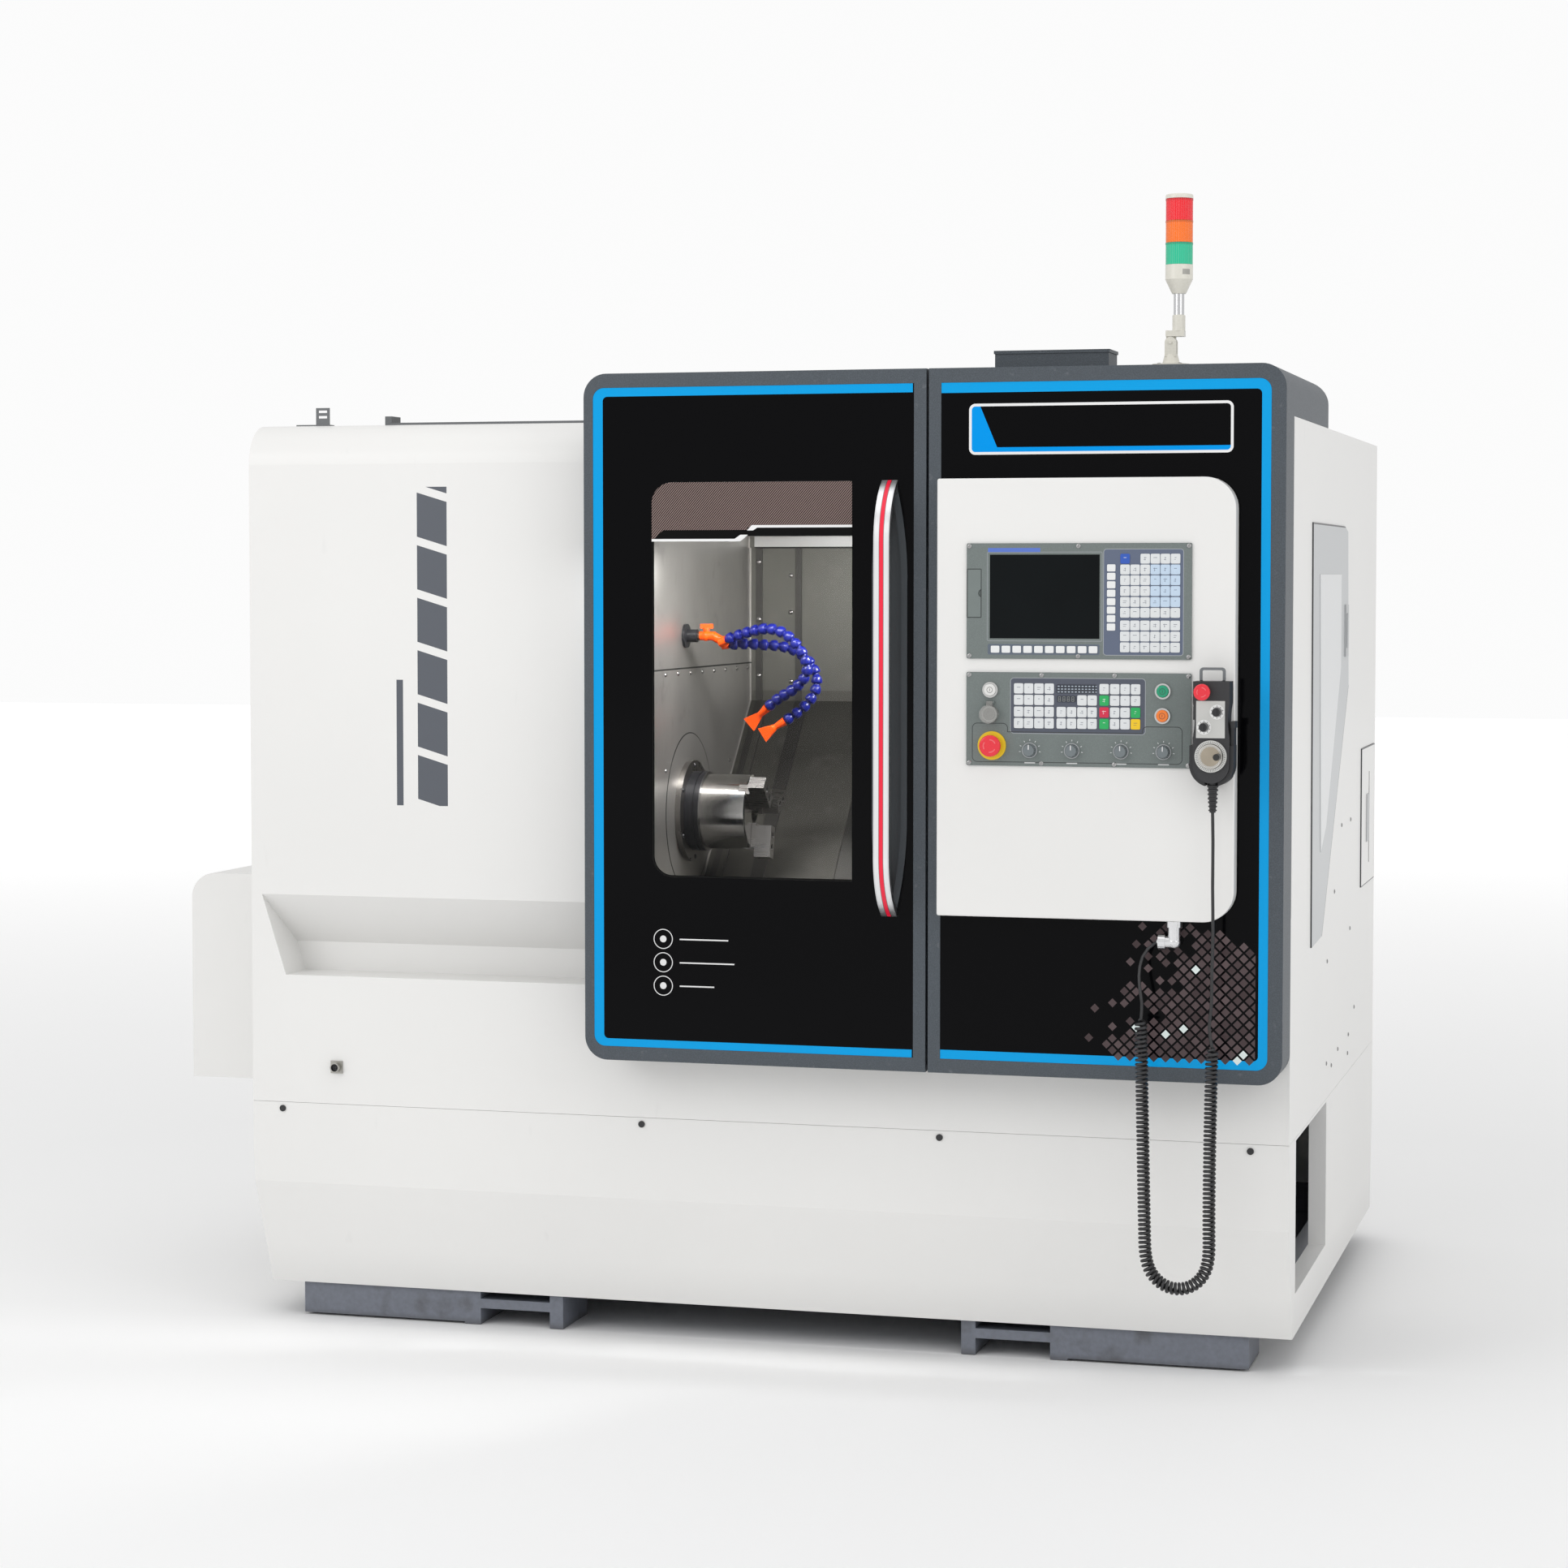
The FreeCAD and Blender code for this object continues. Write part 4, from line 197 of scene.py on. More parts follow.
def turned(spots, axis, profile, sides=20):
    """Copies of one turned form. A profile of (radius, height) millimetres is spun round the unit axis at each spot:
    point = spot + height * axis + radius * (cos t * side + sin t * up)."""
    axis = np.asarray(axis, float)
    side = np.cross(axis, (0.0, 0.0, 1.0) if abs(axis[2]) < 0.9 else (0.0, 1.0, 0.0))
    side /= np.linalg.norm(side)
    up = np.cross(axis, side)
    t = np.linspace(0, 2 * np.pi, sides, endpoint=False)
    ring = np.cos(t)[:, None] * side + np.sin(t)[:, None] * up
    profile = np.asarray(profile, float)
    if not np.array_equal(profile[0], profile[-1]):
        profile = np.concatenate(([(0.0, profile[0, 1])], profile, [(0.0, profile[-1, 1])]))
    form = profile[:, None, 1:2] * axis + profile[:, None, 0:1] * ring
    spots = np.asarray(spots, float).reshape(-1, 3)
    points = spots[:, None, None, :] + form[None]
    faces = lattice(len(profile), sides)
    starts = np.arange(len(spots)) * len(profile) * sides
    return datum(points.reshape(-1, 3)), (faces[None] + starts[:, None, None]).reshape(-1, 4)


def set_heads(name, spots, axis, profile, body, material, slot="rail_grey", sides=12):
    """One piece of equal screw or bolt heads, all turned about the same axis."""
    return fresh(name, *turned(spots, axis, profile, sides), body, material, slot)


def pads(spots, halves, face, height, corner=5.0):
    """Low crowned keys on a plane of constant y. Each rim is the superellipse |x/a|^n + |z/b|^n = 1, and its rings
    step up from the face, round over the edge and close at the middle."""
    spots = np.asarray(spots, float)
    halves = np.broadcast_to(np.asarray(halves, float), spots.shape)
    t = np.linspace(0, 2 * np.pi, PAD_SIDES, endpoint=False)
    wave = np.stack((np.cos(t), np.sin(t)), -1)
    rim = np.sign(wave) * np.abs(wave) ** (2.0 / (2.0 + corner))
    inset = np.array((40.0, 0.0, 0.0, 0.2, 0.6, 40.0))
    depth = np.array((0.3, 0.3, -0.75, -0.95, -1.0, -1.0)) * height
    reach = np.maximum(halves[:, None, None, :] - inset[None, :, None, None], 0.0)
    flat = spots[:, None, None, :] + reach * rim[None, None]
    y = np.broadcast_to(face + depth[None, :, None], flat.shape[:3])
    points = np.stack((flat[..., 0], y, flat[..., 1]), -1)
    faces = lattice(len(inset), PAD_SIDES)
    starts = np.arange(len(spots)) * len(inset) * PAD_SIDES
    return datum(points.reshape(-1, 3)), (faces[None] + starts[:, None, None]).reshape(-1, 4)


def spline_points(name, route, count):
    """Points read from the route's own NURBS spline, spread evenly along its length."""
    curve = bpy.data.curves.new(name, "CURVE")
    curve.dimensions = "3D"
    add_spline(curve, route)
    curve.splines[0].resolution_u = 24
    holder = bpy.data.objects.new(name, curve)
    mesh = bpy.data.meshes.new_from_object(holder)
    line = np.zeros(len(mesh.vertices) * 3)
    mesh.vertices.foreach_get("co", line)
    line = line.reshape(-1, 3)
    bpy.data.objects.remove(holder)
    bpy.data.curves.remove(curve)
    bpy.data.meshes.remove(mesh)
    along = np.concatenate(([0.0], np.cumsum(np.linalg.norm(np.diff(line, axis=0), axis=1))))
    spread = np.linspace(0, along[-1], count)
    return np.stack([np.interp(spread, along, line[:, k]) for k in range(3)], -1), along[-1]


def add_spline(curve, points):
    """One smooth open spline with these control points."""
    points = np.asarray(points, float)
    spline = curve.splines.new("NURBS")
    spline.points.add(len(points) - 1)
    spline.points.foreach_set("co", np.concatenate((points, np.ones((len(points), 1))), 1).ravel())
    spline.order_u = 3
    spline.use_endpoint_u = True
    return spline


def frames_along(line, across=(0.0, 1.0, 0.0)):
    """Two unit normals at each point: the first is across x tangent, the second is tangent x first."""
    ahead = np.gradient(line, axis=0)
    ahead /= np.linalg.norm(ahead, axis=1)[:, None]
    first = np.cross(np.asarray(across), ahead)
    first /= np.linalg.norm(first, axis=1)[:, None]
    return first, np.cross(ahead, first)


# ---- shading ----
class Field:
    """A socket of a node tree. Arithmetic on it adds Math nodes."""

    def __init__(self, finish, socket):
        self.finish = finish
        self.socket = socket

    def __add__(self, other):
        return self.finish.calc("ADD", self, other)

    def __sub__(self, other):
        return self.finish.calc("SUBTRACT", self, other)

    def __rsub__(self, other):
        return self.finish.calc("SUBTRACT", other, self)

    def __mul__(self, other):
        return self.finish.calc("MULTIPLY", self, other)

    def __truediv__(self, other):
        return self.finish.calc("DIVIDE", self, other)

    def __gt__(self, other):
        return self.finish.calc("GREATER_THAN", self, other)

    def __lt__(self, other):
        return self.finish.calc("LESS_THAN", self, other)

    def __abs__(self):
        return self.finish.calc("ABSOLUTE", self)

    __radd__ = __add__
    __rmul__ = __mul__


class Finish:
    """One material in the making: its shader, and the nodes that feed it."""

    def __init__(self, name, colour=(0.5, 0.5, 0.5), **fixed):
        self.material = bpy.data.materials.new(name)
        self.material.use_nodes = True
        self.tree = self.material.node_tree
        self.shader = self.tree.nodes["Principled BSDF"]
        self.colour = colour
        self.shader.inputs["Base Color"].default_value = (*colour, 1.0)
        self.material.diffuse_color = (*colour, 1.0)
        self.place_node = None
        for key, value in fixed.items():
            self.shader.inputs[key.replace("_", " ").title().replace("Ior", "IOR")].default_value = value

    def node(self, kind, settings=None, sockets=None, output=0):
        """Any node: its settings first, then the values or links of its sockets. Returns one output."""
        made = self.tree.nodes.new("ShaderNode" + kind)
        for key, value in (settings or {}).items():
            setattr(made, key, value)
        for key, value in (sockets or {}).items():
            self.feed(made.inputs[key], value)
        return Field(self, made.outputs[output])

    def feed(self, socket, value):
        if isinstance(value, Field):
            self.tree.links.new(value.socket, socket)
        elif isinstance(value, (tuple, list)) and socket.type == "RGBA" and len(value) == 3:
            socket.default_value = (*value, 1.0)
        else:
            socket.default_value = value

    def calc(self, operation, *terms):
        return self.node("Math", {"operation": operation}, dict(enumerate(terms)))

    def mix(self, mask, low, high):
        """The low colour where the mask is 0, the high colour where it is 1."""
        return self.node("Mix", {"data_type": "RGBA"}, {0: mask, 6: low, 7: high}, 2)

    def place(self):
        """x, y and z on the machine's datum, in millimetres."""
        if self.place_node is None:
            where = self.node("TexCoord", output="Object")
            parts = self.tree.nodes.new("ShaderNodeSeparateXYZ")
            self.tree.links.new(where.socket, parts.inputs[0])
            self.place_node = [Field(self, parts.outputs[k]) * 1000.0 - float(DATUM[k]) for k in range(3)]
        return self.place_node

    def noise(self, scale, detail=2.0, stretch=(1.0, 1.0, 1.0)):
        """Even noise, with its cell length 1/scale metres, stretched along an axis by a small factor there."""
        where = self.node("TexCoord", output="Object")
        spread = self.node("VectorMath", {"operation": "MULTIPLY"}, {0: where, 1: stretch})
        return self.node("TexNoise", {}, {"Vector": spread, "Scale": scale, "Detail": detail}, "Fac")

    def cells(self, scale, output="Distance"):
        where = self.node("TexCoord", output="Object")
        return self.node("TexVoronoi", {}, {"Vector": where, "Scale": scale}, output)

    def clamp(self, value, low, high):
        """0 below low, 1 above high, straight between."""
        return self.node("MapRange", {}, {"Value": value, "From Min": low, "From Max": high})

    def between(self, value, low, high):
        return (value > low) * (value < high)

    def either(self, first, *others):
        """1 where any of the masks is 1."""
        for other in others:
            first = self.calc("MAXIMUM", first, other)
        return first

    def plate(self, x, z, box, corner):
        """Signed distance from a rounded box: length of the outside part plus the inside part, less the corner."""
        x0, x1, z0, z1 = box
        qx = abs(x - (x0 + x1) / 2) - ((x1 - x0) / 2 - corner)
        qz = abs(z - (z0 + z1) / 2) - ((z1 - z0) / 2 - corner)
        px = self.calc("MAXIMUM", qx, 0.0)
        pz = self.calc("MAXIMUM", qz, 0.0)
        inner = self.calc("MINIMUM", self.calc("MAXIMUM", qx, qz), 0.0)
        return self.calc("SQRT", px * px + pz * pz) + inner - corner

    def radius(self, a, b, centre):
        return self.calc("SQRT", (a - centre[0]) * (a - centre[0]) + (b - centre[1]) * (b - centre[1]))

    def ticks(self, x, z, centre, inner, outer, count, width, arc=(-math.pi, math.pi)):
        """Short radial marks: inside a ring, where the angle from the top is near a whole step."""
        r = self.radius(x, z, centre)
        angle = self.calc("ARCTAN2", x - centre[0], z - centre[1])
        step = 2 * math.pi / count
        off = abs(self.calc("FRACT", angle / step + 0.5) - 0.5) * step * r
        return self.between(r, inner, outer) * (off < width / 2) * self.between(angle, *arc)

    def paint(self, colour=None, rough=None, metal=None, alpha=None, height=None, distance=0.001, strength=1.0):
        """Feeds the shader and returns the material."""
        for key, value in (("Base Color", colour), ("Roughness", rough), ("Metallic", metal), ("Alpha", alpha)):
            if value is not None:
                self.feed(self.shader.inputs[key], value)
        if height is not None:
            bump = self.node("Bump", {}, {"Height": height, "Distance": distance, "Strength": strength})
            self.feed(self.shader.inputs["Normal"], bump)
        return self.material


def dress(material, *nodes):
    """Gives CAD nodes this material in every slot."""
    for name in nodes:
        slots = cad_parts[name].data.materials
        slots.clear()
        slots.append(material)


def shade(colour, factor):
    return tuple(min(1.0, c * factor) for c in colour)


def sheet_paint(name, colour, rough=0.42, peel=0.00012):
    """Powder coat: a fine orange peel, slow changes of tone and a few faint scuffs."""
    f = Finish(name, colour, coat_weight=0.12, coat_roughness=0.2)
    slow = f.noise(1.3, 3.0)
    scuff = f.clamp(f.noise(38.0, 4.0, (1.0, 1.0, 0.25)), 0.70, 0.80)
    tinted = f.mix(f.clamp(slow, 0.3, 0.7), shade(colour, 0.975), shade(colour, 1.015))
    f.colour_field = f.mix(scuff * 0.18, tinted, shade(colour, 0.80))
    f.rough_field = f.clamp(slow, 0.2, 0.8) * 0.08 + (rough - 0.04)
    f.height_field = f.noise(420.0, 2.0)
    f.peel = peel
    return f


def spray(f, tint):
    """Feeds a sheet paint with its own gloss and orange peel under this colour."""
    return f.paint(tint, f.rough_field, height=f.height_field, distance=f.peel, strength=0.35)


def plain_paint(name, colour, rough=0.42):
    f = sheet_paint(name, colour, rough)
    return spray(f, f.colour_field)


def moulded(name, colour, rough=0.45, grain=900.0, coat=0.0, depth=0.00008):
    """Moulded plastic: fine spark grain and a slight change of gloss."""
    f = Finish(name, colour, coat_weight=coat, coat_roughness=0.12)
    slow = f.noise(30.0, 2.0)
    tint = f.mix(slow, shade(colour, 0.93), shade(colour, 1.06))
    return f.paint(tint, slow * 0.1 + (rough - 0.05), height=f.noise(grain, 2.0), distance=depth, strength=0.4)


def brushed(name, colour, rough=0.34, stretch=(1.0, 1.0, 0.03), scale=900.0, metal=1.0):
    """Brushed sheet or bar: noise stretched along the grain, with faint handling marks."""
    f = Finish(name, colour)
    grain = f.noise(scale, 3.0, stretch)
    marks = f.clamp(f.noise(7.0, 5.0), 0.52, 0.70)
    tint = f.mix(grain, shade(colour, 0.86), shade(colour, 1.1))
    tint = f.mix(marks * 0.22, tint, shade(colour, 0.66))
    return f.paint(tint, grain * 0.12 + marks * 0.1 + (rough - 0.08), metal, height=grain, distance=0.00004,
                   strength=0.5)


def turned_steel(name, colour, rough=0.24, dark=None):
    """Steel turned about the spindle axis: fine rings round it, and a darker zone where one is given in x."""
    f = Finish(name, colour, metallic=1.0)
    x, y, z = f.place()
    r = f.radius(y, z, SPINDLE)
    feed = f.calc("SINE", r * 5.2) * 0.5 + f.calc("SINE", x * 7.5) * 0.5
    slow = f.noise(45.0, 3.0)
    tint = f.mix(f.clamp(feed + slow, -0.6, 1.6), shade(colour, 0.82), shade(colour, 1.12))
    shine = slow * 0.12 + (rough - 0.05)
    if dark:
        mask = f.between(x, *dark)
        tint = f.mix(mask, tint, (0.018, 0.018, 0.021))
        shine = shine + mask * 0.1
        f.feed(f.shader.inputs["Metallic"], 1.0 - mask * 0.6)
    return f.paint(tint, shine, height=feed, distance=0.00003, strength=0.5)


# ---- enclosure ----
def paint_enclosure(paint):
    body = tuple(paint.body)
    plain = plain_paint("enclosure_paint", body)
    dress(plain, "rear_housing", "left_box", "cabinet_door", "control_pod")
    f = sheet_paint("skirt_paint", body)
    z = f.place()[2]
    # The skirt's paint turns darker towards the bottom, from z 150 down to z 60.
    low_darkening = f.clamp(z, 60.0, 150.0)
    dress(spray(f, f.mix(low_darkening, shade(body, 0.93), f.colour_field)), "base_skirt")
    f = sheet_paint("cover_paint", body)
    x, y, z = f.place()
    wide = f.between(x, -1063.0, -1000.0) * f.between(z, 1050.0, 1682.0)
    gap = f.calc("FRACT", (z + x * 0.3) / 104.0) < 0.16
    thin = f.between(x, -1108.0, -1094.0) * f.between(z, 1050.0, 1300.0)
    stripe = f.either(wide * (1.0 - gap), thin) * (y < 118.0)
    tint = f.mix(stripe, f.colour_field, (0.085, 0.095, 0.115))
    dress(spray(f, tint), "front_housing")
    f = sheet_paint("side_door_paint", (0.50, 0.515, 0.525), 0.38)
    x, y, z = f.place()
    # Dark lines along the leaf's front, slanted and top edges and round the service door's leaf are painted shade in
    # the gaps round the leaves. The service door's slot is painted dark as the shade in its recess.
    front = y + (z - 1609.0) * 0.0194 < 408.0
    slant_gap_shade = ((y - 592.0) * 484.0 - (z - 790.0) * 453.0) / 663.0 > -3.0
    line = f.either(front, slant_gap_shade * (y < 1048.0), z > 1606.0)
    slot_shade = f.between(y, 1477.0, 1495.0) * f.between(z, 865.0, 1071.0) * (x < 668.0)
    leaf_gap_shade = f.either(f.plate(y, z, (1330.0, 1604.0, 822.0, 1127.0), 2.0) > -2.4, slot_shade) * (y > 1300.0)
    tint = f.mix((x > 669.9) * (y < 940.0), f.colour_field, (0.70, 0.71, 0.715))
    tint = f.mix(y > 1300.0, tint, shade(body, 0.96))
    tint = f.mix((x > 669.9) * (y > 940.0), tint, (0.42, 0.43, 0.44))
    tint = f.mix(f.either(line * (y < 1300.0), leaf_gap_shade), tint, (0.035, 0.037, 0.040))
    dress(spray(f, tint), "side_door", "service_door")
    trim = tuple(paint.trim)
    f = Finish("trim_paint", trim, coat_weight=0.05)
    grain = f.cells(520.0)
    wear = f.clamp(f.noise(60.0, 5.0), 0.66, 0.74)
    tint = f.mix(f.clamp(grain, 0.1, 0.7), shade(trim, 0.80), shade(trim, 1.35))
    f.paint(f.mix(wear * 0.35, tint, (0.16, 0.17, 0.19)), f.noise(300.0) * 0.12 + 0.46, height=grain,
            distance=0.00035, strength=0.6)
    dress(f.material, "door_frame", "hood_shell")


def finish_base(paint):
    feet = tuple(paint.feet)
    f = Finish("cast_paint", feet)
    rough_cast = f.noise(95.0, 5.0)
    stain = f.clamp(f.noise(14.0, 4.0), 0.55, 0.72)
    tint = f.mix(rough_cast, shade(feet, 0.78), shade(feet, 1.25))
    z = f.place()[2]
    tint = f.mix(stain * 0.5, tint, (0.045, 0.040, 0.036))
    tint = f.mix(f.clamp(z, 14.0, 0.0) * 0.5, tint, (0.05, 0.045, 0.04))
    f.paint(tint, rough_cast * 0.2 + 0.45, height=rough_cast, distance=0.0012, strength=0.5)
    dress(f.material, "bed_casting")
    dress(brushed("rail_zinc", (0.14, 0.145, 0.15), 0.4, (0.05, 1.0, 1.0)), "door_rail")
    f = Finish("socket_finish", (0.03, 0.03, 0.033))
    x, _, z = f.place()
    r = f.radius(x, z, (-1240.0, 521.0))
    bright = (r < 18.0) * (1.0 - f.between(r, 0.0, 7.6))
    speck = f.noise(700.0)
    f.paint(f.mix(bright, (0.022, 0.022, 0.024), (0.42, 0.41, 0.38)), speck * 0.15 + 0.32, bright, height=speck,
            distance=0.00005)
    dress(f.material, "fittings")


# ---- black panels and window ----
def gloss_panel(name, paint, blue, extra):
    """Gloss black sheet printed from behind: a blue mask, then further (mask, colour) prints in order."""
    f = Finish(name, tuple(paint.black), specular_ior_level=0.08)
    x, _, z = f.place()
    tint = f.mix(blue(f, x, z), tuple(paint.black), tuple(paint.border))
    for mask, colour in extra(f, x, z):
        tint = f.mix(mask, tint, colour)
    dust = f.noise(160.0, 4.0)
    return f.paint(tint, dust * 0.05 + 0.06, height=f.noise(3.0, 1.0), distance=0.0004, strength=0.05)


def door_print(f, x, z):
    """Three empty rings with plain bars beside them, low on the door."""
    prints = []
    for level, end in ((811.0, -388.0), (766.0, -376.0), (721.0, -416.0)):
        r = f.radius(x, z, (RING_X, level))
        ring = f.between(r, 17.6, 19.2)
        dot = r < 6.5
        bar = f.between(x, -485.0, end) * (abs(z - level) < 1.3)
        prints.append((f.either(ring, dot, bar), (0.75, 0.75, 0.75)))
    return prints


def frame_print(f, x, z):
    """Outline of an empty name plate at the top, and a drift of small diamonds at the lower right."""
    plate = f.plate(x, z, (79.0, 571.0, 1730.5, 1825.0), 12.0)
    inside = plate < -5.0
    wedge = f.either((x + (z - 1730.0) * 0.42) < 138.0, z < 1744.0) * inside
    prints = [(wedge, (0.0, 0.30, 0.80)), (f.between(plate, -5.0, 0.0), (0.80, 0.80, 0.80))]
    pitch = 15.6
    u = (x + z) / (pitch * math.sqrt(2.0))
    v = (x - z) / (pitch * math.sqrt(2.0))
    cell_u = f.calc("FLOOR", u)
    cell_v = f.calc("FLOOR", v)
    seed = f.node("CombineXYZ", {}, {0: cell_u, 1: cell_v, 2: 3.7})
    chance = f.node("TexWhiteNoise", {"noise_dimensions": "3D"}, {"Vector": seed}, "Value")
    tone_seed = f.node("CombineXYZ", {}, {0: cell_u, 1: cell_v, 2: 9.1})
    other = f.node("TexWhiteNoise", {"noise_dimensions": "3D"}, {"Vector": tone_seed}, "Value")
    middle_x = (cell_u + cell_v + 1.0) * (pitch * math.sqrt(2.0) / 2)
    middle_z = (cell_u - cell_v) * (pitch * math.sqrt(2.0) / 2)
    reach = (middle_x - 300.0) / 250.0 + (740.0 - middle_z) / 420.0
    crest = (middle_z + (middle_x - 470.0) * (middle_x - 470.0) * 0.0028) < 872.0
    low = middle_z > 612.0
    tile = f.calc("MAXIMUM", abs(f.calc("FRACT", u) - 0.5), abs(f.calc("FRACT", v) - 0.5)) < 0.38
    here = tile * crest * low * (chance < f.clamp(reach, 0.1, 0.75) * 1.02) * (x < 617.0) * (middle_x > 305.0)
    prints.append((here, f.mix(other, (0.060, 0.043, 0.045), (0.115, 0.085, 0.088))))
    white = here * (other > 0.982)
    prints.append((white, (0.72, 0.80, 0.78)))
    return prints


def print_panels(paint):
    def door_blue(f, x, z):
        return (f.plate(x, z, (-637.6, 600.0, 615.7, 1848.0), 9.0) > 0.0) * (x < -28.5)

    def frame_blue(f, x, z):
        return f.plate(x, z, (-600.0, 622.5, 617.8, 1845.7), 9.0) > 0.0

    dress(gloss_panel("door_panel_print", paint, door_blue, door_print), "door_panel")
    dress(gloss_panel("frame_panel_print", paint, frame_blue, frame_print), "frame_panel")


def finish_window():
    """Clear sheet. Its top carries brown slanting lines over a black stripe, with two stepped white rules."""
    f = Finish("window_print", (0.02, 0.02, 0.02), specular_ior_level=0.12)
    x, _, z = f.place()
    left = x < (z - 1571.5) * 1.3 - 364.8
    printed = f.either((z > 1571.5) * left, (z > 1581.6) * (x > -349.5))
    hatch = f.calc("FRACT", (x - z * 0.85) / 4.6) < 0.46
    tint = f.mix(printed, (0.10, 0.10, 0.10), f.mix(hatch, (0.030, 0.020, 0.018), (0.270, 0.200, 0.185)))
    low = f.between(z, 1576.0, 1593.0) * (x < -345.0) * (x > (z - 1577.0) * 1.15 - 535.0)
    high = f.between(z, 1581.6, 1597.4) * (x > -349.5)
    tint = f.mix(f.either(low, high), tint, (0.002, 0.002, 0.002))
    rule = f.between(z, 1571.5, 1583.8) * left * f.either(z < 1576.2, x > (z - 1576.0) * 1.5 - 375.3)
    other = f.between(z, 1592.0, 1602.0) * (x > (z - 1592.0) * 0.92 - 350.4)
    other = other * f.either(z > 1597.3, x < (z - 1592.0) * 1.58 - 338.6)
    tint = f.mix(f.either(rule, other), tint, (0.84, 0.84, 0.84))
    edge = f.plate(x, z, (-540.0, -60.0, 930.0, 1684.0), 40.0) > -3.5
    tint = f.mix(edge * (1.0 - printed), tint, (0.004, 0.004, 0.004))
    clear = f.either(printed, edge)
    f.paint(tint, f.noise(40.0) * 0.03 + 0.03, alpha=clear * 0.96 + 0.04)
    dress(f.material, "door_window")


def finish_handle():
    f = Finish("handle_metal", (0.66, 0.66, 0.67), metallic=1.0)
    x, y, _ = f.place()
    grain = f.noise(700.0, 3.0, (1.0, 1.0, 0.02))
    side = abs(x - HANDLE_X)
    red = (side < 3.6) * (y < -0.5)
    groove = f.between(side, 3.6, 4.8)
    rim = side > 12.6
    tint = f.mix(grain, (0.78, 0.78, 0.79), (0.90, 0.90, 0.91))
    tint = f.mix(rim * 0.4, tint, (0.50, 0.50, 0.51))
    tint = f.mix(groove, tint, (0.28, 0.22, 0.22))
    tint = f.mix(red, tint, (0.86, 0.008, 0.045))
    f.paint(tint, grain * 0.14 + 0.24, 1.0 - red, height=grain - groove * 2.0, distance=0.0003, strength=0.4)
    dress(f.material, "door_handle")
    # The pocket's dark grey plastic is painted darker still, as the shade in the hollow behind the handle.
    dress(moulded("pocket_plastic_shaded", (0.036, 0.043, 0.049), 0.38, 600.0), "handle_pocket")


# ---- work space and spindle ----
def finish_workspace(detail):
    f = Finish("liner_steel", (0.46, 0.445, 0.42))
    x, y, z = f.place()
    grain = f.noise(700.0, 3.0, (1.0, 1.0, 0.03))
    cloud = f.noise(2.6, 3.0)
    stain = f.clamp(f.noise(22.0, 5.0), 0.58, 0.75)
    left_wall = x < -572.0
    lap = left_wall * f.between(z, 1319.5, 1322.6)
    rim = left_wall * f.between(f.radius(y, z, SPINDLE), 156.0, 158.4)
    base = f.mix(f.clamp(cloud, 0.3, 0.7), (0.30, 0.288, 0.270), (0.43, 0.415, 0.393))
    strip = f.either(f.between(x, -561.2, -546.8), f.between(x, -474.2, -445.8)) * f.between(y, 0.0, 797.5)
    # Every wall but the left one gets the same steel painted far darker, as shade, and darker again below z 1262. The
    # left wall keeps the lit tone.
    shaded_dim = f.mix(z > 1262.0, (0.055, 0.053, 0.046), (0.080, 0.080, 0.070))
    pale = f.mix(z > 1262.0, (0.085, 0.082, 0.072), (0.125, 0.124, 0.110))
    base = f.mix(1.0 - left_wall, base, f.mix(f.clamp(cloud, 0.3, 0.7), shaded_dim, pale))
    base = f.mix(grain * 0.2, base, (0.16, 0.155, 0.145))
    base = f.mix(stain * 0.3, base, (0.16, 0.15, 0.14))
    base = f.mix(strip * 0.8, base, (0.045, 0.043, 0.041))
    base = f.mix(f.either(lap, rim), base, (0.03, 0.03, 0.03))
    header = (y > 770.0) * (x > -562.0)
    base = f.mix(header * f.between(z, 1568.0, 1590.0), base, (0.42, 0.42, 0.41))
    base = f.mix(header * f.between(z, 1564.5, 1568.0), base, (0.02, 0.02, 0.02))
    f.paint(base, grain * 0.14 + cloud * 0.12 + 0.30, grain * 0.1 + 0.8, height=grain, distance=0.00005, strength=0.5)
    dress(f.material, "work_liner")
    dress(brushed("sheet_steel", (0.11, 0.107, 0.100), 0.38, (0.03, 1.0, 1.0), 600.0), "z_carriage")
    dress(brushed("screw_steel", (0.55, 0.55, 0.56), 0.22, (0.02, 1.0, 1.0), 400.0), "z_screw", "x_screw")
    dress(plain_paint("slide_paint", (0.17, 0.18, 0.19), 0.4), "cross_slide")
    wall = [(-574.2, y, 1311.0) for y in np.linspace(196.0, 780.0, 8)]
    wall += [(-574.2, y, 1311.0 - 190.0) for y in (196.0, 640.0)]
    back = [(-484.0, 799.5, z) for z in (1507.0, 1429.0, 1351.0, 1282.0)]
    rear = [(x, 799.5, z) for x in (-250.0, 30.0, 300.0, 530.0) for z in (1507.0, 1282.0)]
    rear += [(-554.0, 797.0, z) for z in (1536.0, 1414.0, 1294.0)]
    cap = [(4.6, 0.0), (4.6, 1.0), (3.4, 2.2), (1.6, 2.8), (1.6, 1.6), (0.0, 1.6)]
    head = brushed("sheet_screw_steel", (0.34, 0.33, 0.32), 0.3, (1.0, 1.0, 1.0), 900.0)
    cap = np.array(cap) * (detail.rivet * 1000 / 4.6)
    set_heads("wall_screws", wall, (1, 0, 0), cap, "machine", head, sides=14)
    set_heads("back_screws", back + rear, (0, -1, 0), cap, "machine", head, sides=14)


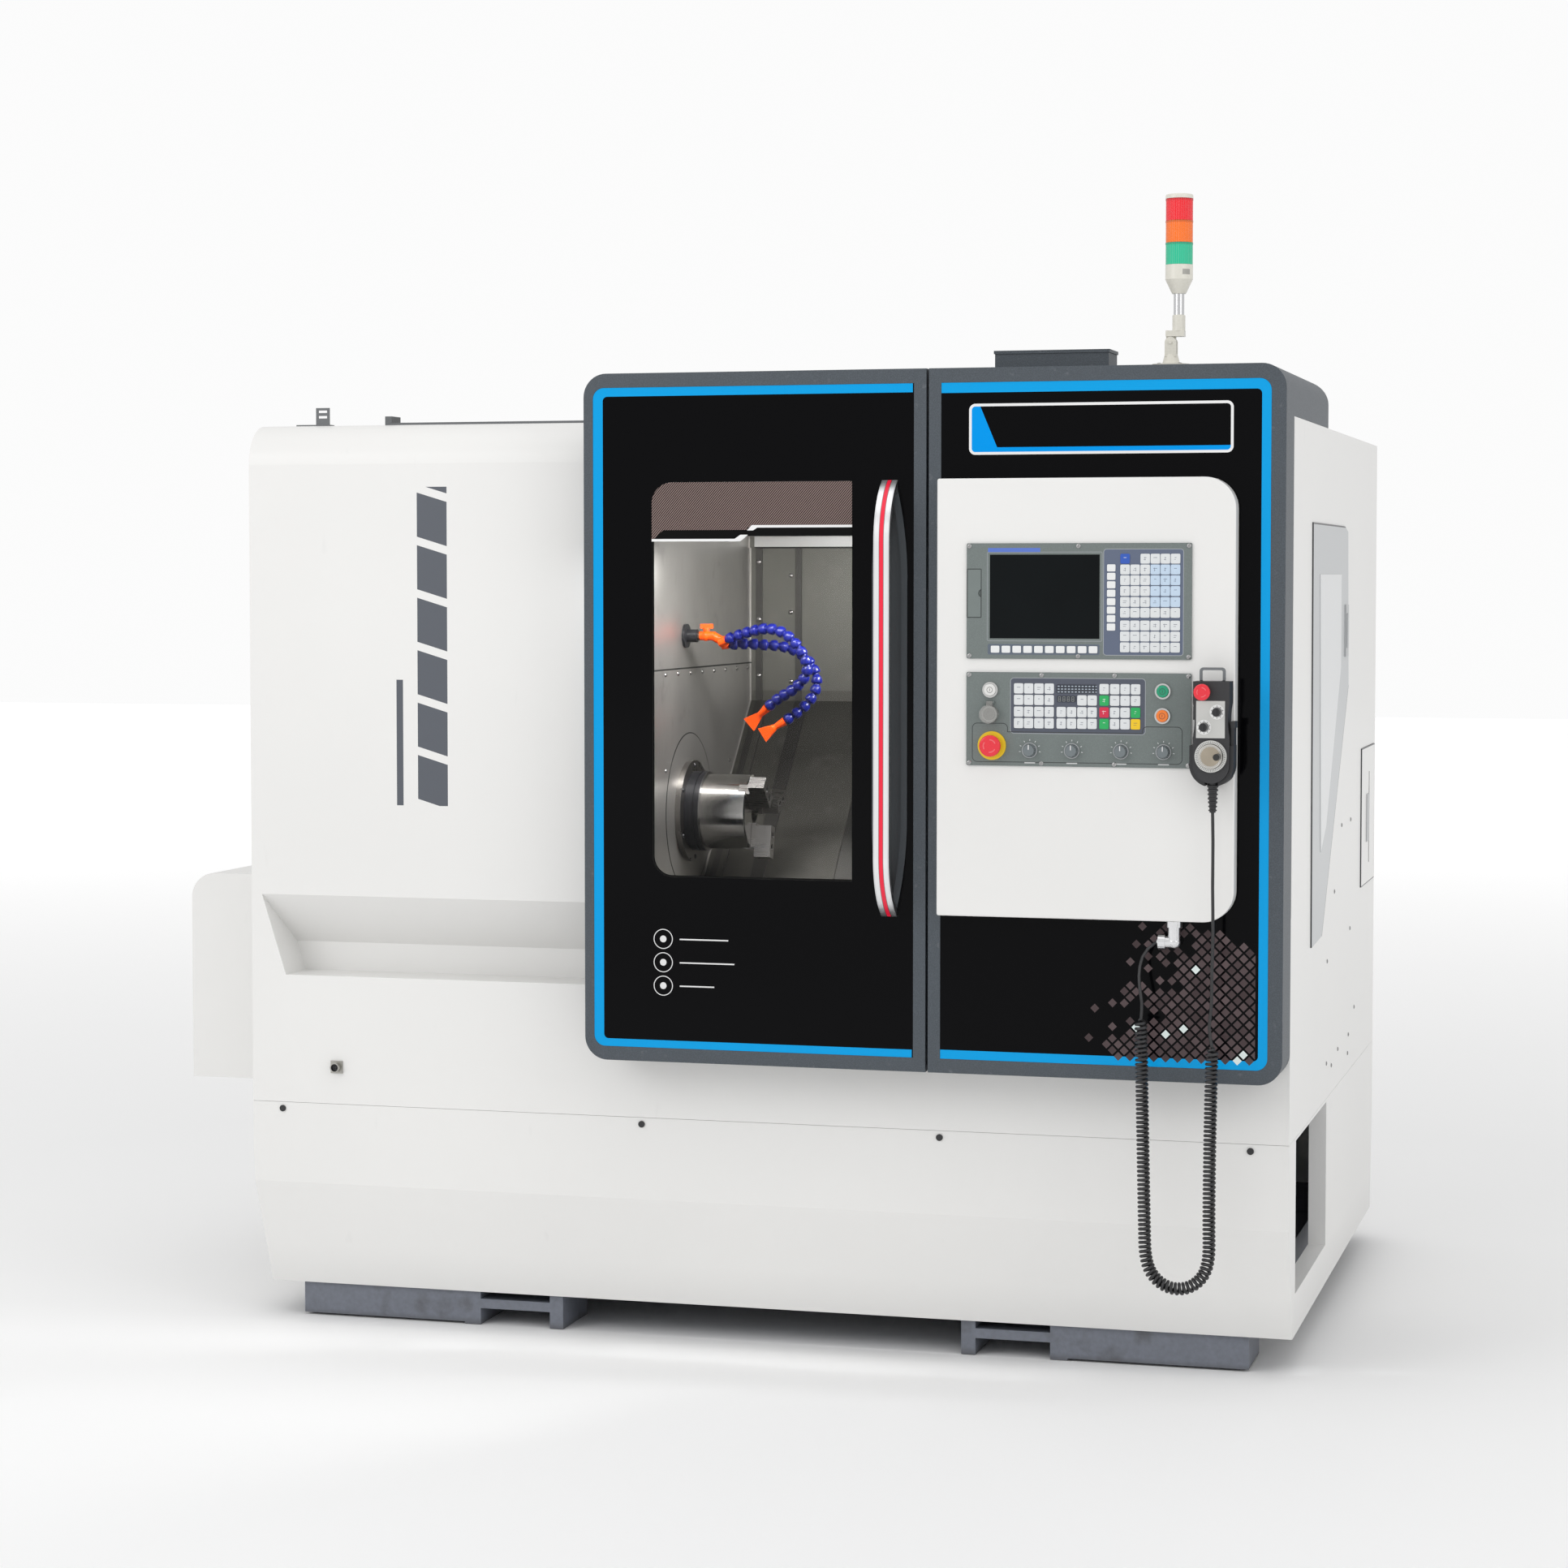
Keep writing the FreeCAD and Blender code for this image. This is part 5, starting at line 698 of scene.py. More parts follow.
def finish_spindle():
    y, z = SPINDLE
    dress(turned_steel("flange_steel", (0.30, 0.285, 0.27), 0.28), "headstock")
    dress(turned_steel("adaptor_finish", (0.24, 0.23, 0.225), 0.3, dark=(-562.0, -533.0)), "spindle_shaft")
    dress(turned_steel("chuck_steel", (0.58, 0.57, 0.55), 0.15), "chuck_body")
    jaw = brushed("jaw_steel", (0.26, 0.25, 0.24), 0.30, (0.05, 1.0, 1.0), 700.0)
    dress(jaw, "chuck_jaw_1", "chuck_jaw_2", "chuck_jaw_3")
    bolt = brushed("bolt_steel", (0.12, 0.12, 0.125), 0.32, (1.0, 1.0, 1.0), 900.0)
    cap = [(0.0, -7.0), (6.2, -7.0), (6.2, 0.2), (5.6, 0.8), (3.1, 0.8), (3.1, -2.6), (0.0, -2.6)]
    seat = -398.6                               # x where a jaw bolt's head starts
    for number, degrees in enumerate(JAW_ANGLES):
        a = math.radians(degrees)
        spots = [(seat, y + r * math.cos(a), z + r * math.sin(a)) for r in (47.0, 71.0)]
        set_heads(f"jaw_bolts_{number + 1}", spots, (1, 0, 0), cap, f"jaw_{number + 1}", bolt, "jaw_steel", 18)
    cap = [(0.0, -4.0), (4.7, -4.0), (4.7, 1.2), (4.1, 1.8), (2.4, 1.8), (2.4, -1.2), (0.0, -1.2)]
    spots = [(-562.2, y + 92 * math.cos(a), z + 92 * math.sin(a)) for a in np.radians(30 + 60 * np.arange(6))]
    set_heads("flange_bolts", spots, (1, 0, 0), cap, "machine", bolt, "flange_steel", 18)


def make_hoses(paint, hose):
    """Two hoses of ball-and-socket links. Along the route a link swells from its waist to its rim and drops back:
    radius = R * (0.56 + 0.46 * s(t)) with t the place within the link and s a skewed hump."""
    blue = tuple(paint.hose)
    f = Finish("hose_plastic", blue, specular_ior_level=0.3, coat_weight=0.08, coat_roughness=0.15)
    speck = f.noise(300.0, 2.0)
    f.paint(f.mix(speck, shade(blue, 0.42), shade(blue, 0.70)), speck * 0.1 + 0.28, height=speck, distance=0.00005)
    sides, per_link = 18, 14
    place_in_link = (0.0, 0.12, 0.3, 0.55, 0.78, 0.88, 0.93, 1.0)
    swell = (0.0, 0.25, 0.8, 1.0, 0.97, 0.72, 0.02, 0.0)
    for number, route in enumerate(HOSE_ROUTES):
        length = spline_points("hose_route", route, 2)[1]
        links = round(length / hose.link)
        line = spline_points("hose_route", route, links * per_link + 1)[0]
        t = np.linspace(0, links, len(line)) % 1.0
        radius = hose.radius * (0.56 + 0.46 * np.interp(t, place_in_link, swell))
        first, second = frames_along(line)
        a = np.linspace(0, 2 * np.pi, sides, endpoint=False)
        ring = np.cos(a)[None, :, None] * first[:, None] + np.sin(a)[None, :, None] * second[:, None]
        points = line[:, None] + radius[:, None, None] * ring
        ends = np.repeat(line[[0, -1]][:, None], sides, 1)
        points = np.concatenate((ends[:1], points, ends[1:]))
        fresh(f"hose_{number + 1}", points, lattice(len(points), sides), "machine", f.material, "hose_blue",
              stand_for=("coolant_hoses",))
    orange = tuple(paint.valve)
    f = Finish("valve_plastic", orange, specular_ior_level=0.2, coat_weight=0.05, coat_roughness=0.2)
    x = f.place()[0]
    black = x < -547.0
    grey = f.between(x, -547.0, -543.0)
    speck = f.noise(260.0, 2.0)
    tint = f.mix(speck, shade(orange, 0.82), shade(orange, 1.08))
    tint = f.mix(black, tint, (0.018, 0.018, 0.02))
    f.paint(f.mix(grey, tint, (0.05, 0.03, 0.02)), speck * 0.12 + 0.3, height=speck, distance=0.00006)
    dress(f.material, "coolant_fittings")
    dress(moulded("lever_plastic", orange, 0.34, 500.0, 0.15), "valve_lever")


# ---- controls ----
def key_layout():
    """Middle, half size and colour of every membrane key. A colour's fourth part is 0 on a key with no sign."""
    white, plain = (0.70, 0.72, 0.73, 1), (0.78, 0.79, 0.79, 0)
    pale, blue = (0.52, 0.64, 0.78, 1), (0.02, 0.09, 0.46, 1)
    green, red, yellow = (0.01, 0.40, 0.10, 1), (0.62, 0.015, 0.06, 1), (0.86, 0.56, 0.005, 1)
    screen, panel = [], []
    for k in range(10):
        screen.append(((SOFT_ROW[0] + SOFT_ROW_PITCH * k, SOFT_ROW[1]), (8.2, 6.6), plain))
    for k in range(8):
        screen.append(((SOFT_COLUMN[0], SOFT_COLUMN[1] - SOFT_COLUMN_PITCH * k), (7.9, 6.6), plain))
    for row, z in enumerate(LETTER_ROWS):
        for column in range(6):
            if (row, column) == (0, 1):
                continue
            tint = blue if (row, column) == (0, 0) else pale if column > 2 and 0 < row < 5 else white
            screen.append(((LETTER_X + LETTER_PITCH * column, z), (8.9, 9.2), tint))
    tints = {(1, 8): green, (3, 8): green, (2, 11): green, (2, 8): red, (3, 11): yellow}
    for row, z in enumerate(PANEL_ROWS):
        for column, x in enumerate(PANEL_COLUMNS):
            if (row == 0 and 4 <= column <= 7) or (row == 1 and column in (4, 5)):
                continue
            panel.append(((x, z), (8.9, 9.6), tints.get((row, column), white)))
    return {"screen_keys": screen, "panel_keys": panel}


def key_finish():
    """Key cap: its own colour, a thin rim painted darker as shade round its edge, and a small plain sign of two short
    bars that differs by key.
    """
    f = Finish("key_cap", (0.66, 0.68, 0.69), coat_weight=0.1)
    colour = f.node("Attribute", {"attribute_name": "cap"}, {}, "Color")
    signed = f.node("Attribute", {"attribute_name": "cap"}, {}, "Alpha")
    local = f.node("Attribute", {"attribute_name": "spot"}, {}, "Vector")
    parts = f.tree.nodes.new("ShaderNodeSeparateXYZ")
    f.tree.links.new(local.socket, parts.inputs[0])
    u, v, key = (Field(f, parts.outputs[k]) for k in range(3))
    draw = [f.node("TexWhiteNoise", {"noise_dimensions": "1D"}, {"W": key + 17.0 * k}, "Value") for k in range(1, 4)]
    top = (abs(u) < draw[0] * 0.30 + 0.12) * (abs(v - 0.22) < 0.055)
    low = (abs(u + 0.1) < draw[1] * 0.28 + 0.10) * (abs(v + 0.16) < 0.045) * (draw[2] > 0.35)
    stem = (abs(u - (draw[1] - 0.5) * 0.4) < 0.04) * (abs(v) < 0.36) * (draw[2] > 0.6)
    sign = f.either(top, low, stem)
    lum = f.node("RGBToBW", {}, {0: colour})
    ink = f.mix(lum > 0.35, (0.80, 0.80, 0.80), (0.035, 0.05, 0.10))
    # The thin rim round each key is painted darker as shade.
    rim = f.calc("MAXIMUM", abs(u), abs(v)) > 0.965
    speck = f.noise(900.0)
    tint = f.mix(sign * signed * 0.75, colour, ink)
    f.paint(f.mix(rim * 0.35, tint, (0.10, 0.11, 0.13)), speck * 0.08 + 0.34, height=speck, distance=0.00003)
    return f.material


def make_keys(detail):
    cap = key_finish()
    for name, keys in key_layout().items():
        spots = np.array([k[0] for k in keys])
        halves = np.array([k[1] for k in keys])
        points, faces = pads(spots, halves, PANEL_FACE, detail.key_height * 1000)
        piece = fresh(name, points, faces, "machine", cap, "button_white")
        mesh = piece.data
        place = np.zeros(len(mesh.vertices) * 3)
        mesh.vertices.foreach_get("co", place)
        flat = place.reshape(-1, 3)[:, [0, 2]] * 1000 - DATUM[[0, 2]]
        gap = flat[:, None] - spots[None]
        nearest = np.argmin((np.abs(gap) / halves[None]).max(2), 1)
        rows = np.arange(len(flat))
        local = gap[rows, nearest] / halves[nearest]
        tints = np.array([k[2] for k in keys])[nearest]
        layer = mesh.attributes.new("cap", "FLOAT_COLOR", "POINT")
        layer.data.foreach_set("color", tints.astype(np.float32).ravel())
        layer = mesh.attributes.new("spot", "FLOAT_VECTOR", "POINT")
        layer.data.foreach_set("vector", np.concatenate((local, nearest[:, None]), 1).astype(np.float32).ravel())


def finish_controls(paint, detail):
    grey = tuple(paint.console)
    f = Finish("bezel_paint", grey)
    x, y, z = f.place()
    grain = f.cells(900.0)
    tint = f.mix(grain, shade(grey, 0.85), shade(grey, 1.2))
    field = f.plate(x, z, (340.5, 486.5, 1361.5, 1554.5), 5.0)
    tint = f.mix(field < 0.0, tint, (0.105, 0.130, 0.195))
    tint = f.mix(f.between(field, 0.0, 1.0), tint, (0.36, 0.38, 0.40))
    flap = f.plate(x, z, (84.8, 111.4, 1429.2, 1518.8), 1.5)
    tint = f.mix(f.between(flap, -1.6, 0.6), tint, (0.030, 0.034, 0.034))
    soft = f.plate(x, z, (123.8, 333.0, 1361.0, 1380.5), 3.0)
    tint = f.mix(soft < 0.0, tint, (0.105, 0.130, 0.170))
    rim = f.between(f.plate(x, z, (122.5, 337.5, 1386.0, 1550.0), 3.0), -1.0, 0.4)
    tint = f.mix(rim, tint, (0.26, 0.28, 0.29))
    title = f.between(x, 124.0, 222.0) * f.between(z, 1549.8, 1557.4)
    tint = f.mix(title, tint, (0.09, 0.17, 0.56))
    recess = f.between(x, 126.0, 334.0) * f.between(z, 1389.5, 1546.5) * (y > -37.5)
    tint = f.mix(recess, tint, (0.006, 0.006, 0.007))
    f.paint(tint, grain * 0.1 + 0.42, height=grain, distance=0.00012, strength=0.5)
    dress(f.material, "cnc_bezel")
    f = Finish("operator_paint", grey)
    x, y, z = f.place()
    grain = f.cells(900.0)
    tint = f.mix(grain, shade(grey, 0.85), shade(grey, 1.2))
    field = f.plate(x, z, (167.7, 417.5, 1216.5, 1317.5), 6.0)
    tint = f.mix(field < 0.0, tint, (0.075, 0.085, 0.115))
    tint = f.mix(f.between(field, 0.0, 1.2), tint, (0.32, 0.34, 0.36))
    marks = [f.ticks(x, z, (centre, DIAL_Z), 17.4, 20.4, 11, 1.3, (-2.1, 2.1)) for centre in DIALS]
    marks += [(abs(x - centre) < 10.0) * (abs(z - 1161.6) < 1.0) for centre in DIALS]
    form = f.plate(x, z, (95.3, 161.7, 1162.7, 1233.9), 9.0)
    form = f.calc("MINIMUM", form, f.plate(x, z, (120.0, 470.0, 1162.7, 1218.3), 9.0))
    form = f.calc("MINIMUM", form, f.plate(x, z, (412.8, 486.1, 1162.7, 1230.5), 9.0))
    tint = f.mix(f.between(form, -0.7, 0.7), tint, (0.035, 0.040, 0.040))
    tint = f.mix(f.either(*marks), tint, (0.62, 0.63, 0.63))
    collar = (f.radius(x, z, ESTOP_SPOT) < 26.8) * (y < -39.2)
    tint = f.mix(collar, tint, (0.80, 0.56, 0.01))
    rings = [f.radius(x, z, spot) < 14.8 for spot in (POWER_SPOT, GUARD_SPOT, START_SPOT, HOLD_SPOT)]
    metal = f.either(*rings) * (y < -39.2)
    tint = f.mix(metal, tint, (0.58, 0.58, 0.57))
    f.paint(tint, grain * 0.1 + 0.42 - metal * 0.18, metal, height=grain, distance=0.00012, strength=0.5)
    dress(f.material, "operator_panel")
    dress(moulded("flap_plastic", shade(grey, 1.12), 0.5, 700.0), "port_flap")
    f = Finish("display_glass", (0.003, 0.004, 0.005), specular_ior_level=0.12)
    soft = f.noise(9.0)
    f.paint(f.mix(soft, (0.002, 0.003, 0.0035), (0.004, 0.006, 0.007)), soft * 0.06 + 0.08)
    dress(f.material, "cnc_screen")
    for name, spot, colour, rough in (("power_button", POWER_SPOT, (0.72, 0.72, 0.70), 0.25),
                                      ("start_button", START_SPOT, (0.0, 0.30, 0.15), 0.2),
                                      ("hold_button", HOLD_SPOT, (0.88, 0.20, 0.015), 0.2),
                                      ("guard_button", GUARD_SPOT, (0.17, 0.17, 0.165), 0.4)):
        f = Finish(name + "_cap", colour, coat_weight=0.3, coat_roughness=0.08)
        x, _, z = f.place()
        r = f.radius(x, z, spot)
        sign = f.either(f.between(r, 4.6, 5.8), (abs(x - spot[0]) < 0.7) * (abs(z - spot[1]) < 2.6))
        speck = f.noise(500.0)
        tint = f.mix(speck, shade(colour, 0.9), shade(colour, 1.1))
        f.paint(f.mix(sign * 0.7, tint, (0.02, 0.02, 0.02)), speck * 0.08 + rough, height=speck, distance=0.00003)
        dress(f.material, name)
    f = Finish("guard_clear", (0.42, 0.42, 0.40), coat_weight=0.4)
    f.paint(rough=f.noise(200.0) * 0.1 + 0.06, alpha=f.noise(60.0) * 0.08 + 0.40)
    dress(f.material, "guard_cover")
    for name, spot, scale, neck_y in (("estop_head", ESTOP_SPOT, 1.0, -51.0),
                                      ("pendant_estop", HAND_ESTOP_SPOT, 0.72, -106.0)):
        f = Finish(name + "_red", (0.70, 0.012, 0.02), coat_weight=0.4, coat_roughness=0.08)
        x, y, z = f.place()
        r = f.radius(x, z, spot)
        angle = f.calc("ARCTAN2", x - spot[0], z - spot[1])
        arrows = f.between(r, 10.5 * scale, 12.6 * scale) * (f.calc("FRACT", angle / 2.0944) < 0.55)
        speck = f.noise(400.0)
        tint = f.mix(speck, (0.72, 0.010, 0.026), (0.82, 0.016, 0.036))
        tint = f.mix(arrows * 0.16, tint, (0.85, 0.70, 0.70))
        f.paint(f.mix(y > neck_y, tint, (0.55, 0.40, 0.02)), speck * 0.06 + 0.2, height=speck, distance=0.00003)
        dress(f.material, name)
    for number, centre in enumerate(DIALS):
        f = Finish(f"dial_knob_{number + 1}_finish", (0.10, 0.11, 0.12), coat_weight=0.1)
        x, y, z = f.place()
        r = f.radius(x, z, (centre, DIAL_Z))
        angle = f.calc("ARCTAN2", x - centre, z - DIAL_Z)
        flutes = f.calc("SINE", angle * 18.0) * f.between(r, 10.0, 12.7)
        pointer = (abs(x - centre) < 0.9) * (z > DIAL_Z + 1.5) * (y < -52.5)
        white = f.either(pointer, f.between(r, 13.3, 13.9) * 0.4)
        skirt = r > 12.7
        tint = f.mix(skirt, (0.155, 0.180, 0.190), (0.30, 0.32, 0.33))
        f.paint(f.mix(white, tint, (0.75, 0.75, 0.75)), f.noise(500.0) * 0.1 + 0.34, height=flutes, distance=0.0008)
        dress(f.material, f"dial_knob_{number + 1}")
    screw = brushed("panel_screw_steel", (0.38, 0.38, 0.38), 0.25, (1.0, 1.0, 1.0), 900.0)
    cap = np.array([(3.3, 0.0), (3.3, 0.9), (2.6, 1.5), (1.35, 1.8), (1.35, 0.8), (0.0, 0.8)])
    cap *= detail.screw * 1000 / 3.3
    spots = [(x, PANEL_FACE + 0.1, z) for x in (89.0, 293.0, 497.0) for z in (1358.5, 1560.8)]
    spots += [(x, PANEL_FACE + 0.1, z) for x in (89.0, 225.0, 361.0, 497.0) for z in (1160.6, 1323.4)]
    set_heads("console_screws", spots, (0, -1, 0), cap, "machine", screw, sides=16)


def make_displays():
    """A status field and a two-part counter, as low lenses on the operator panel."""
    spots = [((x0 + x1) / 2, (z0 + z1) / 2) for x0, x1, z0, z1 in (STATUS_BOX, COUNTER_BOX)]
    halves = [((x1 - x0) / 2, (z1 - z0) / 2) for x0, x1, z0, z1 in (STATUS_BOX, COUNTER_BOX)]
    x0, x1, z0, z1 = STATUS_BOX
    c0, _, c2, c3 = COUNTER_BOX
    f = Finish("status_lens", (0.02, 0.03, 0.05), coat_weight=0.5, coat_roughness=0.05)
    x, _, z = f.place()
    column = f.calc("FRACT", (x - x0 - 1.0) / 6.4)
    row = f.calc("FRACT", (z - z0) / 5.2)
    lamp = (abs(column - 0.5) < 0.28) * (abs(row - 0.5) < 0.17) * (z > z0)
    digit = f.calc("FRACT", (x - c0 - 0.8) / 8.3)
    upright = f.either(abs(digit - 0.24) < 0.05, abs(digit - 0.72) < 0.05) * (abs(z - (c2 + c3) / 2) < 4.2)
    level = abs(z - (c2 + c3) / 2)
    across = (abs(digit - 0.48) < 0.22) * f.either(level < 0.45, f.between(level, 3.6, 4.5))
    segment = f.either(upright, across) * (z < c3)
    tint = f.mix(lamp, (0.012, 0.018, 0.032), (0.42, 0.48, 0.55))
    f.paint(f.mix(segment, tint, (0.22, 0.23, 0.22)), f.noise(50.0) * 0.05 + 0.12)
    points, faces = pads(spots, halves, PANEL_FACE, 1.0, 14.0)
    fresh("status_displays", points, faces, "machine", f.material, "screen_black")


def make_pendant():
    f = Finish("pendant_finish", (0.022, 0.022, 0.024))
    x, y, z = f.place()
    front = y < -95.1
    plate = front * f.between(z, 1213.5, 1281.5) * f.between(x, 519.0, 573.0)
    r = f.radius(x, z, PENDANT_DIAL)
    ring = front * f.between(r, 20.5, 30.0)
    marks = f.ticks(x, z, PENDANT_DIAL, 24.0, 27.5, 50, 0.7) * ring
    dials = f.ticks(x, z, HAND_DIALS[0], 9.4, 12.0, 10, 0.9)
    dials = f.either(dials, f.ticks(x, z, HAND_DIALS[1], 9.4, 12.0, 10, 0.9)) * plate
    patch = f.calc("MINIMUM", f.radius(x, z, HAND_DIALS[0]), f.radius(x, z, HAND_DIALS[1])) < 13.2
    loop = z > 1318.0
    bright = f.either(plate, ring)
    grain = f.noise(900.0)
    tint = f.mix(grain, (0.018, 0.018, 0.020), (0.034, 0.034, 0.037))
    tint = f.mix(loop, tint, (0.16, 0.17, 0.18))
    tint = f.mix(bright, tint, (0.60, 0.60, 0.58))
    tint = f.mix(patch * plate, tint, (0.86, 0.86, 0.85))
    tint = f.mix(f.either(marks, dials), tint, (0.02, 0.02, 0.02))
    lip = (f.radius(x, z, HAND_ESTOP_SPOT) < 12.0) * front
    f.paint(f.mix(lip, tint, (0.70, 0.50, 0.01)), grain * 0.12 + 0.42 - bright * 0.12, bright * 0.7, height=grain,
            distance=0.0001, strength=0.5)
    dress(f.material, "pendant_body")
    dress(moulded("cradle_plastic", (0.024, 0.024, 0.026), 0.5), "pendant_cradle")
    dress(moulded("pendant_knob_plastic", (0.018, 0.018, 0.02), 0.35), "pendant_knob_1", "pendant_knob_2")
    dress(moulded("enable_rubber", (0.05, 0.05, 0.052), 0.6), "pendant_enable")
    f = Finish("handwheel_finish", (0.5, 0.48, 0.44))
    x, y, z = f.place()
    r = f.radius(x, z, PENDANT_DIAL)
    rings = f.calc("SINE", r * 6.0)
    crank = y < -104.5
    tint = f.mix(f.clamp(rings, -1.0, 1.0), (0.60, 0.58, 0.53), (0.80, 0.78, 0.74))
    tint = f.mix(r < 17.5, tint, (0.40, 0.35, 0.28))
    tint = f.mix(f.ticks(x, z, PENDANT_DIAL, 17.5, 21.0, 100, 0.35), tint, (0.05, 0.05, 0.05))
    f.paint(f.mix(crank, tint, (0.02, 0.02, 0.02)), f.noise(300.0) * 0.1 + 0.25, 1.0 - crank, height=rings,
            distance=0.00004)
    dress(f.material, "pendant_handwheel")
    dress(brushed("gland_nickel", (0.80, 0.80, 0.81), 0.2, (1.0, 1.0, 1.0), 400.0), "cord_elbow")


def make_cord(cord):
    """The pendant's cord: straight lead, a helix round the route's own line, and a tail into the elbow.
    Helix: point = line + r * (cos a * first + sin a * second), with a one turn a pitch and r easing in and out."""
    length = spline_points("coil_route", COIL_ROUTE, 2)[1]
    turns = round(length / cord.pitch)
    steps = 12
    line = spline_points("coil_route", COIL_ROUTE, turns * steps + 1)[0]
    first, second = frames_along(line)
    a = np.arange(len(line)) * 2 * np.pi / steps
    ease = np.clip(np.minimum(np.arange(len(line)), np.arange(len(line))[::-1]) / (1.5 * steps), 0, 1)
    ease = ease * ease * (3 - 2 * ease)
    reach = (cord.coil - cord.wire) / 2 * ease
    helix = line + reach[:, None] * (np.cos(a)[:, None] * first + np.sin(a)[:, None] * second)
    route = np.concatenate((np.array(LEAD_ROUTE)[:-1], helix[2:-2], np.array(TAIL_ROUTE)[1:]))
    curve = bpy.data.curves.new("pendant_cord", "CURVE")
    curve.dimensions = "3D"
    curve.bevel_depth = cord.wire / 2
    curve.bevel_resolution = 2
    curve.use_fill_caps = True
    curve.resolution_u = 2
    curve.render_resolution_u = 2
    spline = add_spline(curve, route)
    spline.resolution_u = 2
    piece = bpy.data.objects.new("pendant_cord", curve)
    bpy.context.scene.collection.objects.link(piece)
    f = Finish("cord_jacket", (0.016, 0.016, 0.017), coat_weight=0.1, coat_roughness=0.3)
    speck = f.noise(500.0, 3.0)
    f.paint(f.mix(speck, (0.010, 0.010, 0.011), (0.028, 0.028, 0.030)), speck * 0.14 + 0.32, height=speck,
            distance=0.0001)
    curve.materials.append(f.material)
    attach(piece, "machine")
    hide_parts("cord_lead", "cord_coil", "cord_tail")
    z = np.linspace(1080.0, 1131.0, 52)
    relief = 4.9 + (z - 1080.0) / 51.0 * 3.1 + 2.7 * (np.sin((z - 1080.0) * 2 * np.pi / 7.3) > 0)
    profile = [(3.2, 1080.0)] + list(zip(relief, z)) + [(3.2, 1131.0), (3.2, 1080.0)]
    sleeve = set_heads("cord_relief", [(547.0, -70.0, 0.0)], (0, 0, 1), profile, "machine", f.material, "cord_black",
                       20)


def finish_tower():
    f = Finish("lens_stack", (0.8, 0.2, 0.05), specular_ior_level=0.3, coat_weight=0.12, coat_roughness=0.06)
    x, y, z = f.place()
    angle = f.calc("ARCTAN2", x - TOWER[0], y - TOWER[1])
    ribs = f.calc("SINE", angle * 40.0)
    tint = f.mix(z > 2121.6, (0.004, 0.52, 0.29), (0.95, 0.17, 0.001))
    tint = f.mix(z > 2162.1, tint, (0.86, 0.003, 0.015))
    band = f.calc("FRACT", (z - 2081.0) / 40.5) > 0.92
    tint = f.mix(f.clamp(ribs, -1.0, 1.0) * 0.06, tint, (1.0, 0.9, 0.85))
    tint = f.mix(band * 0.35, tint, (0.05, 0.02, 0.02))
    f.paint(tint, f.noise(80.0) * 0.06 + 0.16, height=ribs, distance=0.0006, strength=0.5)
    dress(f.material, "tower_lenses")
    f = Finish("tower_mouldings", (0.72, 0.70, 0.62), coat_weight=0.2)
    x, y, z = f.place()
    pole = f.between(z, 1989.0, 2027.5) * (f.radius(x, y, TOWER) < 10.5)
    core = f.between(z, 2081.0, 2202.5) * (f.radius(x, y, TOWER) < 9.0)
    label = f.between(x, 464.0, 476.0) * f.between(z, 2062.0, 2072.0) * (y < 92.0)
    speck = f.noise(220.0)
    tint = f.mix(speck, (0.66, 0.64, 0.56), (0.76, 0.74, 0.67))
    tint = f.mix(pole, tint, (0.62, 0.62, 0.63))
    tint = f.mix(label * 0.6, tint, (0.10, 0.10, 0.10))
    f.paint(f.mix(core, tint, (0.10, 0.05, 0.03)), speck * 0.1 + 0.3 - pole * 0.1, pole, height=speck,
            distance=0.00004)
    dress(f.material, "tower_head", "tower_mount")


def set_screws(detail):
    """Sheet screws on the right side, round the rear panels, and on the tower's foot."""
    head = brushed("case_screw_steel", (0.30, 0.30, 0.30), 0.3, (1.0, 1.0, 1.0), 800.0)
    cap = np.array([(4.6, 0.0), (4.6, 0.7), (3.2, 1.6), (1.5, 1.9), (1.5, 1.0), (0.0, 1.0)])
    cap *= detail.rivet * 1000 / 4.6
    side = [(667.0, y, z) for y, z in SIDE_SCREWS]
    set_heads("side_screws", side, (1, 0, 0), cap, "machine", head)
    rear = [(x, 1629.0, z) for x in (-1380.0, -900.0, -420.0, 560.0, 630.0) for z in (480.0, 900.0, 1340.0, 1760.0)]
    set_heads("rear_screws", rear, (0, 1, 0), cap, "machine", head)
    corners = np.radians((45, 135, 225, 315))
    foot = [(440.0 + 27.0 * math.cos(a), 100.0 + 27.0 * math.sin(a), 1898.2) for a in corners]
    set_heads("tower_foot_screws", foot, (0, 0, 1), cap, "machine", head)


# ---- stage ----
def soft_light(name, place, aim, watts, width, height):
    light = bpy.data.lights.new(name, "AREA")
    light.shape = "RECTANGLE"
    light.size = width
    light.size_y = height
    light.energy = watts
    lamp = bpy.data.objects.new(name, light)
    bpy.context.scene.collection.objects.link(lamp)
    lamp.location = place
    way = np.asarray(aim, float) - np.asarray(place, float)
    across = math.hypot(way[0], way[1])
    lamp.rotation_euler = (math.atan2(across, -way[2]), 0.0, math.atan2(-way[0], way[1]))


